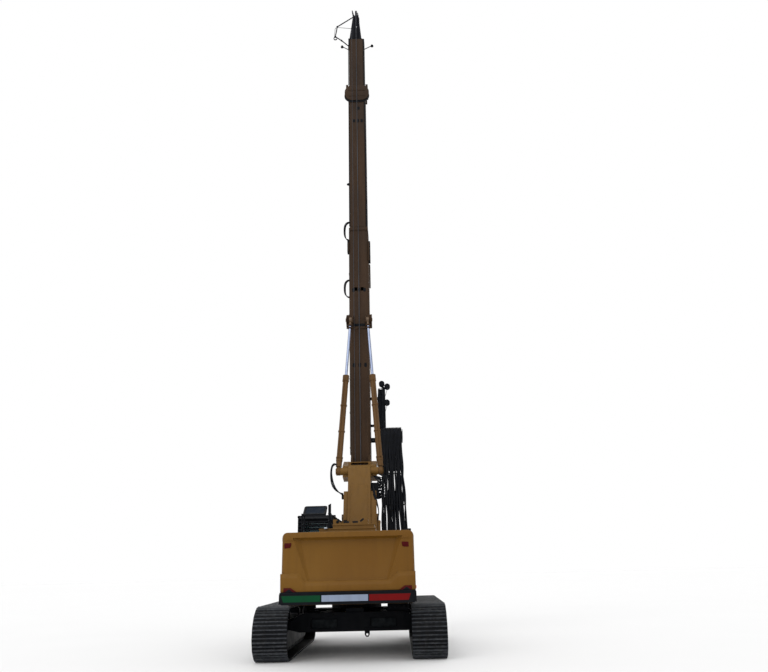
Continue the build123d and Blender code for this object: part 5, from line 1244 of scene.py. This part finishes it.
# the valve block with its spools and the tangle of hoses beside the boom's head
valveLook = {
    "across": (0.36, 0.6), "along": (1.84, 2.08), "up": (4.02, 4.5), "spools": 5, "first": 4.08, "pitch": 0.09,
    "loose": 12, "hose": 0.015,
}
boomBlack, boomHoses = [], []
for side in (-1, 1):
    cap = roundStart("cap", (side * 0.6, ahead(2.1), 4.9), (side * 0.618, ahead(2.1), 4.9), 0.085, 32)
    boomBlack.append(roundEdges(cap, 0.006, 2))
valve = slab("valve", valveLook["across"], valveLook["along"], valveLook["up"], 0.012)
insetFaces(valve, lambda place, normal: normal.y < -0.9, 0.03, -0.008)
boomBlack.append(valve)
for step in range(valveLook["spools"]):
    z = valveLook["first"] + step * valveLook["pitch"]
    spool = roundStart("spool", (0.6, ahead(1.92), z), (0.68, ahead(1.92), z), 0.03, 16)
    boomBlack.append(roundEdges(spool, 0.005, 1))
    boomBlack.append(roundStart("port", (0.42, ahead(1.84), z), (0.42, ahead(1.80), z), 0.018, 12))
    rising = ((0.66, 1.9, z), (0.86, 1.86, z + 0.02), (0.9, 1.88, z + 0.3), (0.78, 1.95, 4.72), (0.6, 2.02, 4.78))
    falling = ((0.42, 1.82, z), (0.44, 1.72, z - 0.06), (0.58, 1.74, 3.8), (0.62, 1.8, 3.5), (0.5, 1.86, 3.3))
    boomHoses += [placed(*rising), placed(*falling)]
tangle = random.Random(3)
for number in range(valveLook["loose"]):
    route = []
    for step in range(5):
        x, reach = 0.5 + tangle.uniform(0.0, 0.3), 2.0 + tangle.uniform(-0.14, 0.14)
        route.append((x, ahead(reach), 4.0 + 0.17 * step + tangle.uniform(-0.05, 0.05)))
    boomHoses.append([(0.4, ahead(2.0), 4.05)] + route + [(0.4, ahead(2.1), 4.75)])
boomBlack.append(slab("fitting", (-0.55, -0.45), (1.84, 1.96), (4.02, 4.16), 0.01))
for shift in (0.0, 0.05, 0.1):
    boomHoses.append(placed(
        (-0.5, 1.9, 4.14 + shift / 2), (-0.72 - shift, 1.84, 4.25), (-0.9 - shift / 2, 1.9, 4.7),
        (-0.87, 1.98, 5.15 + shift), (-0.7, 2.06, 5.1),
    ))
hand(coat(joinAll("boomFittings", boomBlack), blackPaint), "boom")
hand(coat(hoseRuns("boomHoses", boomHoses, valveLook["hose"]), hoseRubber), "boom")

# sleeve guards over the lift rods, and pipes, clamps and glands along the raker cylinders
liftLook = {
    "foot": (2.0, 1.57), "head": (2.25, 3.5), "half": 0.52, "guard": (0.72, 0.12), "outer": 0.108, "inner": 0.101,
}
guardParts = []
liftFoot, liftHead = [Vector((0, ahead(reach), high)) for reach, high in (liftLook["foot"], liftLook["head"])]
liftLine = (liftHead - liftFoot).normalized()
for side in (-1, 1):
    head = liftHead + Vector((side * liftLook["half"], 0, 0))
    low, high = [head - liftLine * run for run in liftLook["guard"]]
    guardParts.append(roundEdges(tube("guard", low, high, liftLook["outer"], liftLook["inner"]), 0.002, 1))
    guardParts.append(tube("clamp", head - liftLine * 0.2, head - liftLine * 0.14, 0.116, 0.05))
hand(coat(joinAll("liftRodGuards", guardParts), bodyYellow), "lift_rods")

rakerLook = {
    "foot": (0.67, 2.1, 4.9), "head": (0.3, 2.81, 10.28), "barrel": 3.3, "pipe": 0.014, "pipeOut": 0.118,
    "pipeRun": (0.5, 3.1),
    "clamps": (0.42, 1.3, 2.2, 3.08), "rodClamps": (5.1, 5.2),
}
rakerParts = []
for side in (-1, 1):
    foot, head = [Vector((side * x, ahead(reach), z)) for x, reach, z in (rakerLook["foot"], rakerLook["head"])]
    line = (head - foot).normalized()
    slanted = Vector((side * 0.4, -1, 0))  # where the pipe lies on the barrel
    outward = (slanted - line * slanted.dot(line)).normalized()
    low, high = [foot + line * run + outward * rakerLook["pipeOut"] for run in rakerLook["pipeRun"]]
    rakerParts.append(roundStart("pipe", low, high, rakerLook["pipe"], 12))
    for run in rakerLook["clamps"]:
        clamp = tube("clamp", foot + line * run, foot + line * (run + 0.05), 0.112, 0.09)
        rakerParts.append(roundEdges(clamp, 0.004, 1))
    for run in (rakerLook["clamps"][0], rakerLook["clamps"][-1]):
        low, high = foot + line * run + outward * 0.1, foot + line * (run + 0.09) + outward * 0.12
        rakerParts.append(roundEdges(roundStart("block", low, high, 0.035, 8), 0.005, 1))
    rakerParts.append(boltRing(foot + line * rakerLook["barrel"], line, 0.085, 10, 0.011))
    clamps = []
    for run in rakerLook["rodClamps"]:
        clamp = tube("clamp", foot + line * run, foot + line * (run + 0.035), 0.085, 0.05)
        clamps.append(roundEdges(clamp, 0.004, 1))
    sideName = "Left" if side < 0 else "Right"
    eyeClamps = coat(joinAll("rakerEyeClamps" + sideName, clamps), mastBrown)
    hand(eyeClamps, "raker_rod_" + sideName.lower())
hand(coat(joinAll("rakerFittings", rakerParts), cylinderBrown), "raker_barrels")
print("boom and cylinders built")

# hose curtain: two layers that lie over the saddle and sway down to the bulkhead
curtainLook = {
    "left": 0.71, "right": 1.35, "front": 3.74, "rear": 3.02, "top": 6.06, "crown": 6.46, "low": 2.38, "head": 5.17,
    "lean": 0.13, "sway": 0.055, "swayDeep": 0.03, "ferrule": 0.1, "bar": 0.018, "straps": (4.9, 3.9, 3.0),
    "layers": ((16, 0.0, 0.027, "hoseCurtain"), (15, 0.05, 0.024, "hoseCurtainOuter")),  # count, out, radius, name
}
sway = random.Random(7)
fittingParts = []
for count, out, radius, name in curtainLook["layers"]:
    look = curtainLook
    routes = []
    for number in range(count):
        share = number / (count - 1)
        x = look["left"] + share * (look["right"] - look["left"])
        front, rear = ahead(look["front"] + out), ahead(look["rear"] - out)
        crown = look["crown"] + out
        route = [(x, front, high) for high in (look["head"], 5.6, look["top"], crown)]
        route += [(x, rear, high) for high in (crown, look["top"], 5.6)]
        for height in (5.1, 4.6, 4.1, 3.6, 3.1):
            fall = (5.6 - height) / (5.6 - look["low"])
            wave = sway.uniform(-look["sway"], look["sway"])
            deep = sway.uniform(-look["swayDeep"], look["swayDeep"])
            route.append((x + share * look["lean"] * fall + wave, rear + deep + out, height))
        lowX = x + share * look["lean"]
        route += [(lowX, ahead(look["rear"]) - out / 2, 2.7), (lowX, ahead(look["rear"]) - out / 2, look["low"])]
        routes.append(route)
        for place in ((lowX, ahead(look["rear"]) - out / 2, look["low"]), (x, front, look["head"])):
            top = Vector(place) + Vector((0, 0, look["ferrule"]))
            fittingParts.append(roundStart("ferrule", place, top, radius + 0.007, 8))
    hides = ("hose_curtain",) if name == "hoseCurtain" else ()
    hand(coat(hoseRuns(name, routes, radius), hoseRubber), "mast", hides)
bars = []
for angle in range(20, 170, 25):
    turn = math.radians(angle)
    place = Vector((0, ahead(3.38) + 0.315 * math.cos(turn), 6.06 + 0.315 * math.sin(turn)))
    bars.append(
        roundStart("bar", place + Vector((0.66, 0, 0)), place + Vector((1.4, 0, 0)), curtainLook["bar"], 12)
    )
for height in curtainLook["straps"]:  # straps that hold the bundle together
    bars.append(
        slab("strap", (0.74, 1.36 + (5.6 - height) * 0.04), (2.985, 2.998), (height, height + 0.035), 0.004)
    )
hand(coat(joinAll("curtainFittings", fittingParts + bars), blackPaint), "mast")

# lamp post: housings with cooling fins and lenses that look ahead and down
lampLook = {
    "places": ((0.74, 8.06), (0.93, 7.96), (0.91, 7.39)), "radius": 0.098, "lens": 0.085, "fins": 4,
    "finPitch": 0.022,
    "lead": 0.007, "cables": (0.6, 0.64, 0.69, 0.74), "cable": 0.02,
}
lampParts, lensParts = [], []
for x, z in lampLook["places"]:
    for step in range(lampLook["fins"]):
        y = ahead(3.26) + step * lampLook["finPitch"]
        lampParts.append(tube("fin", (x, y, z), (x, y + 0.008, z), lampLook["radius"], 0.05))
    rim = tube("rim", (x, ahead(3.4), z), (x, ahead(3.43), z), lampLook["radius"], 0.08)
    lampParts.append(roundEdges(rim, 0.004, 1))
    lensParts.append(roundStart("lens", (x, ahead(3.39), z), (x, ahead(3.42), z), lampLook["lens"], 24))
    lead = placed((x, 3.3, z - 0.08), (x - 0.05, 3.28, z - 0.3), (0.8, 3.34, z - 0.5))
    lampParts.append(hoseRuns("lead", [lead], lampLook["lead"], 3))
tray = slab("tray", (0.6, 0.79), (3.34, 3.42), (6.3, 7.86), 0.01)
insetFaces(tray, lambda place, normal: abs(normal.y) > 0.9, 0.02, -0.012)
lampParts.append(tray)
hand(coat(joinAll("lampHousings", lampParts), blackPaint), "mast")
cableRuns = []
for x in lampLook["cables"]:
    cableRuns.append(placed((x, 3.33, 6.2), (x + 0.02, 3.32, 6.9), (x - 0.02, 3.32, 7.4), (x + 0.03, 3.34, 7.9)))
hand(coat(hoseRuns("lampCables", cableRuns, lampLook["cable"]), hoseRubber), "mast")

# mast: flange bolts, fold shield, strap, side pipes, hose loops and box doors
mastLook = {
    "rear": 3.0, "joint": 14.0, "shieldHalf": 0.49, "shieldLow": 19.79, "shieldHigh": 20.52, "strap": 10.1,
    "slotRows": (11.44, 8.6), "slots": ((0.06, 19.35), (-0.12, 18.75), (0.03, 18.75), (0.18, 18.75)),
    "slotHalf": 0.045,
    "edges": ((14.1, 19.7), (20.56, 22.6)), "lamps": ((-0.6, 22.64), (0.65, 22.64)), "lens": 0.042,
    "pipe": 0.014, "pipeRuns": ((5.6, 11.3), (11.95, 13.0)), "pipeClamps": (5.8, 7.0, 8.2, 9.4, 10.6, 12.2),
    "loops": ((11.29, 11.97), (13.6, 14.35)), "loop": 0.015,
}
look = mastLook
mastParts = []
for height in (look["joint"] - 0.035, look["joint"] + 0.01):
    along = (look["rear"] - 0.022, look["rear"] + 0.01)
    mastParts.append(slab("flange", (-0.352, 0.352), along, (height, height + 0.03), 0.004))
rows = []
for x in range(-28, 29, 8):
    for drop in (-0.09, 0.09):
        rows.append(((x / 100, ahead(look["rear"]) - 0.001, look["joint"] + drop), (0, -1, 0)))
mastParts.append(spread("bolts", boltPattern(0.016), rows))
high = (look["shieldHalf"], ahead(2.972), look["shieldHigh"])
shield = roundedPlate("shield", (-look["shieldHalf"], ahead(2.95), look["shieldLow"]), high, 1, 0.33)
mastParts.append(roundEdges(shield, 0.006, 2))
for height in (19.98, 20.26):
    mastParts.append(slab("rib", (-0.34, 0.34), (2.935, 2.96), (height, height + 0.03), 0.006))
for x in (-0.3, 0.3):
    mastParts.append(slab("stay", (x - 0.02, x + 0.02), (2.96, 3.02), (19.86, 20.44), 0.004))
mastParts.append(boltRing((0, ahead(2.95), 20.13), (0, -1, 0), 0.1, 8, 0.014))
for side in (-1, 1):
    low = 12.7 if side > 0 else 13.09
    mastParts.append(slab("boxDoor", (side * 0.36, side * 0.396), (3.05, 3.062), (low, 13.46), 0.003))
hand(coat(joinAll("mastTrim", mastParts), mastBrown), "mast")
mastBlack = [slab("strap", (-0.36, 0.36), (2.966, 2.98), (look["strap"], look["strap"] + 0.1), 0.004)]
# black plate behind the shield, showing at its lower corners: painted shadow under the sides of the fold flange
shieldShadowPlate = roundedPlate("shieldShadowPlate", (-0.5, ahead(2.974), 19.72), (0.5, ahead(2.986), 20.3), 1, 0.27)
mastBlack.append(shieldShadowPlate)
for low, high in look["edges"]:
    for across in ((-0.342, -0.315), (0.29, 0.342)):
        mastBlack.append(slab("edge", across, (2.985, 3.004), (low, high), 0.004))
# black plates in place of the mast's slots: painted shade of the openings
mastSlotShades = [(x, height) for x in (-0.2, 0.0, 0.2) for height in look["slotRows"]]
for x, height in mastSlotShades + list(look["slots"]):
    low, high = (x - look["slotHalf"], ahead(2.997), height), (x + look["slotHalf"], ahead(3.004), height + 0.15)
    mastBlack.append(roundedPlate("slot", low, high, 1, 0.03))
stub = roundStart("stub", (-0.33, ahead(3.13), 16.0), (-0.43, ahead(3.13), 16.0), 0.03, 16)
mastBlack.append(roundEdges(stub, 0.004, 1))
for x, z in look["lamps"]:
    mastBlack.append(roundEdges(tube("rim", (x, ahead(3.13), z), (x, ahead(3.16), z), 0.058, 0.044), 0.003, 1))
    lensParts.append(ballStart("lens", (x, ahead(3.142), z), look["lens"]))
hand(coat(joinAll("mastFittingsTrim", mastBlack), blackPaint), "mast")
hand(coat(joinAll("workLampLenses", lensParts), lampLens), "mast")
pipeParts = []
for number in range(3):
    y = ahead(3.16 + number * 0.05)
    for low, high in look["pipeRuns"]:
        pipeParts.append(roundStart("pipe", (-0.352, y, low), (-0.352, y, high), look["pipe"], 12))
for height in look["pipeClamps"]:
    pipeParts.append(slab("clamp", (-0.374, -0.33), (3.13, 3.29), (height, height + 0.05), 0.005))
hand(coat(joinAll("mastPipes", pipeParts), bareSteel), "mast")
loops = []
for low, high in look["loops"]:
    for number in range(3):
        y, out = ahead(3.1 + number * 0.05), 0.53 - number * 0.02
        bends = (
            (-0.352, low), (-out, low + 0.02), (-out - 0.03, (low + high) / 2), (-out, high - 0.02), (-0.34, high)
        )
        loops.append([(x, y, z) for x, z in bends])
hand(coat(hoseRuns("mastHoseLoops", loops, look["loop"]), hoseRubber), "mast")

# cathead: hub caps and bolts on the cheeks, stiffening ribs, two slim tips
headLook = {
    "hubs": ((3.22, 24.18), (4.16, 24.12)), "hub": 0.056, "covers": ((-1, 0.3, 0.13), (1, 0.22, 0.1)),
    "coverHigh": (22.95, 24.3),
    "ribs": (((3.12, 4.02), (23.3, 23.34)), ((3.2, 4.05), (23.74, 23.78))),
}
headParts = []
for side in (-1, 1):
    for reach, high in headLook["hubs"]:
        place = Vector((side * 0.116, ahead(reach), high))
        cap = roundStart("cap", place, place + Vector((side * 0.014, 0, 0)), headLook["hub"], 24)
        headParts.append(roundEdges(cap, 0.004, 1))
        headParts.append(boltRing((side * 0.072, ahead(reach), high), (side, 0, 0), 0.1, 8, 0.012))
    for along, up in headLook["ribs"]:
        headParts.append(slab("rib", (side * 0.071, side * 0.1), along, up, 0.005))
for side, base, top in headLook["covers"]:  # tapered covers beside the cheeks
    left, right = sorted((side * 0.075, side * base))
    low, high = headLook["coverHigh"]
    cover = cubeStart("cover", (left, ahead(3.1), low), (right, ahead(3.62), high))
    movePoints(cover, lambda p: abs(p.x) > base - 0.01 and p.z > 24, (side * (top - base), 0, 0))
    headParts.append(roundEdges(cover, 0.015, 2))
headParts.append(slab("collar", (-0.335, -0.2), (3.02, 3.3), (22.62, 22.98), 0.02))
headParts.append(slab("collar", (0.2, 0.33), (3.02, 3.3), (22.66, 22.94), 0.02))
headParts.append(roundStart("tip", (-0.1, ahead(3.2), 24.22), (-0.17, ahead(3.2), 24.62), 0.045, 12, 0.02))
headParts.append(roundStart("tip", (0.09, ahead(3.4), 24.2), (0.05, ahead(3.4), 24.7), 0.04, 12, 0.018))

# service jib: a thin folded arm with knuckles and a ring at its elbow
jibLook = {"radius": 0.022, "knuckle": 0.04, "ring": 0.075}
jibBends = placed(
    (-0.12, 3.22, 24.3), (-0.8, 3.08, 23.66), (-0.88, 3.06, 23.12), (-0.62, 3.1, 22.94), (-0.3, 3.16, 22.66)
)
jibPlaces = [Vector(place) for place in jibBends]
jibParts = []
for first, second in zip(jibPlaces, jibPlaces[1:]):
    jibParts.append(roundStart("arm", first, second, jibLook["radius"], 16))
jibParts += [ballStart("knuckle", place, jibLook["knuckle"]) for place in jibPlaces[1:-1]]
jibFoot = jibPlaces[2] + Vector((0, 0, -0.1))
half = Vector((0, 0.02, 0))
jibParts.append(tube("ring", jibFoot - half, jibFoot + half, jibLook["ring"], jibLook["ring"] - 0.02))
hand(coat(joinAll("serviceJib", jibParts), catheadBlack), "mast", ("service_jib",))
hand(coat(joinAll("catheadTrim", headParts), catheadBlack), "mast")

# falling rope: a straight cylinder over the rope_fall part, cut into rings
fallLook = {"rings": 44, "sides": 16}
fallLow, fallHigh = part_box("rope_fall")
fallMiddle = [(a + b) / 2 for a, b in zip(fallLow, fallHigh)]
fallStart, fallEnd = (fallMiddle[0], fallMiddle[1], fallHigh[2]), (fallMiddle[0], fallMiddle[1], fallLow[2])
fallRope = roundStart("fallRope", fallEnd, fallStart, (fallHigh[0] - fallLow[0]) / 2, fallLook["sides"])
for step in range(1, fallLook["rings"]):
    cutAt(fallRope, (0, 0, fallLow[2] + step * (fallHigh[2] - fallLow[2]) / fallLook["rings"]), (0, 0, 1))
coat(fallRope, ropeSteel)
bpy.ops.object.shade_smooth_by_angle(angle=math.radians(35))
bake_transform(fallRope)
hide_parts("rope_fall")

# winch drums wound with rope, bolt rings on their ends and hoses
winchLook = {
    "drums": (
        ("mainWinding", "main_drum", (2.72, 1.9), 0.2, 0.225),
        ("auxWinding", "aux_drum", (2.715, 2.65), 0.172, 0.205),
    ),
    "rope": 0.015, "bolts": 12, "boltRadius": 0.15, "bolt": 0.013, "hose": 0.014,
}
for name, body, place, radius, half in winchLook["drums"]:
    wound, turns = [], int(half * 2 / 0.03)
    for step in range(turns * 10 + 1):
        angle = math.tau * step / 10
        x = -half + 2 * half * step / (turns * 10)
        wound.append((x, ahead(place[0]) + radius * math.cos(angle), place[1] + radius * math.sin(angle)))
    hand(coat(hoseRuns(name, [wound], winchLook["rope"]), ropeSteel), body)
winchParts, winchHoses = [], []
for side in (-1, 1):
    for name, body, (reach, high), radius, half in winchLook["drums"]:
        middle = (side * 0.322, ahead(reach), high)
        winchParts.append(
            boltRing(middle, (side, 0, 0), winchLook["boltRadius"], winchLook["bolts"], winchLook["bolt"])
        )
for number in range(3):
    x = 0.46 + number * 0.04
    winchHoses.append(placed((x, 3.05, 2.3), (x + 0.04, 2.9, 2.35), (0.52, 2.72, 2.2), (0.47, 2.7, 1.95)))
    winchHoses.append(placed((x, 3.02, 2.32), (x + 0.06, 2.86, 2.5), (0.52, 2.7, 2.75), (0.47, 2.7, 2.68)))
hand(coat(joinAll("winchBolts", winchParts), bareSteel), "mast")
hand(coat(hoseRuns("winchHoses", winchHoses, winchLook["hose"]), hoseRubber), "mast")

# rotary: flange bolts, motor covers, hoses from the motors
rotaryLook = {
    "middle": 4.52, "flangeTop": 3.07, "flangeBolts": 28, "flangeRadius": 0.37, "flangeBolt": 0.016, "hose": 0.014,
    "motors": ((-0.33, 4.23), (0.33, 4.23), (-0.33, 4.81), (0.33, 4.81)), "motorTop": 3.4,
}
flangeMiddle = (0, ahead(rotaryLook["middle"]), rotaryLook["flangeTop"])
flangeRing = boltRing(
    flangeMiddle, (0, 0, 1), rotaryLook["flangeRadius"], rotaryLook["flangeBolts"], rotaryLook["flangeBolt"]
)
rotaryParts, rotaryHoses = [flangeRing], []
for x, reach in rotaryLook["motors"]:
    rotaryParts.append(boltRing((x, ahead(reach), rotaryLook["motorTop"]), (0, 0, 1), 0.078, 8, 0.011))
    ring = tube("ring", (x, ahead(reach), 3.2), (x, ahead(reach), 3.23), 0.105, 0.09)
    rotaryParts.append(roundEdges(ring, 0.004, 1))
    for shift in (-0.03, 0.03):
        outer = x + math.copysign(0.16, x)
        rotaryHoses.append(placed(
            (x + shift, reach, 3.46), (x + shift, reach, 3.62), (outer, reach - 0.1, 3.66),
            (outer, reach - 0.3, 3.3), (math.copysign(0.2, x), 3.98, 3.0),
        ))
hand(coat(joinAll("rotaryFittings", rotaryParts), bareSteel), "rotary")
hand(coat(hoseRuns("rotaryHoses", rotaryHoses, rotaryLook["hose"]), hoseRubber), "rotary")
print("mast and drive built")

# studio: a pale floor under a white world, one wide soft key and two weaker lamps
studioLook = {"floor": (0.9, 0.88), "world": 0.75, "sky": 1.0}
clearSelection()
bpy.ops.mesh.primitive_plane_add(size=400, location=(0, 0, -0.001))
floor = bpy.context.object
floor.name = "studioFloor"
floorFinish, tree, shader = newFinish("studioFloorFinish")
grain = noiseFrom(tree, 0.3, 2)
pale, dull = [(value, value, value, 1) for value in studioLook["floor"]]
tree.links.new(mixed(tree, grain, pale, dull), shader.inputs["Base Color"])
shader.inputs["Roughness"].default_value = 0.9
coat(floor, floorFinish)

world = bpy.data.worlds.new("studioWorld")
scene.world = world
world.use_nodes = True
skyTree = world.node_tree
skyTree.nodes["Background"].inputs["Color"].default_value = (1, 1, 1, 1)
lightPath = skyTree.nodes.new("ShaderNodeLightPath")
seen = skyTree.nodes.new("ShaderNodeMath")
seen.operation = "MAXIMUM"
skyTree.links.new(lightPath.outputs["Is Camera Ray"], seen.inputs[0])
skyTree.links.new(lightPath.outputs["Is Transmission Ray"], seen.inputs[1])
skyTree.links.new(
    ranged(skyTree, seen.outputs[0], 0, 1, studioLook["world"], studioLook["sky"]),
    skyTree.nodes["Background"].inputs["Strength"],
)
for name, energy, spreadAngle, turn in (
    ("keySun", 1.1, 60, (52, 0, -28)),
    ("fillSun", 0.5, 80, (60, 0, 40)),
    ("frontSun", 0.4, 80, (55, 0, 180)),
):
    lampData = bpy.data.lights.new(name, "SUN")
    lampData.energy = energy
    lampData.angle = math.radians(spreadAngle)
    lamp = bpy.data.objects.new(name, lampData)
    lamp.rotation_euler = [math.radians(value) for value in turn]
    scene.collection.objects.link(lamp)
scene.view_settings.view_transform = "Standard"
print("studio ready")
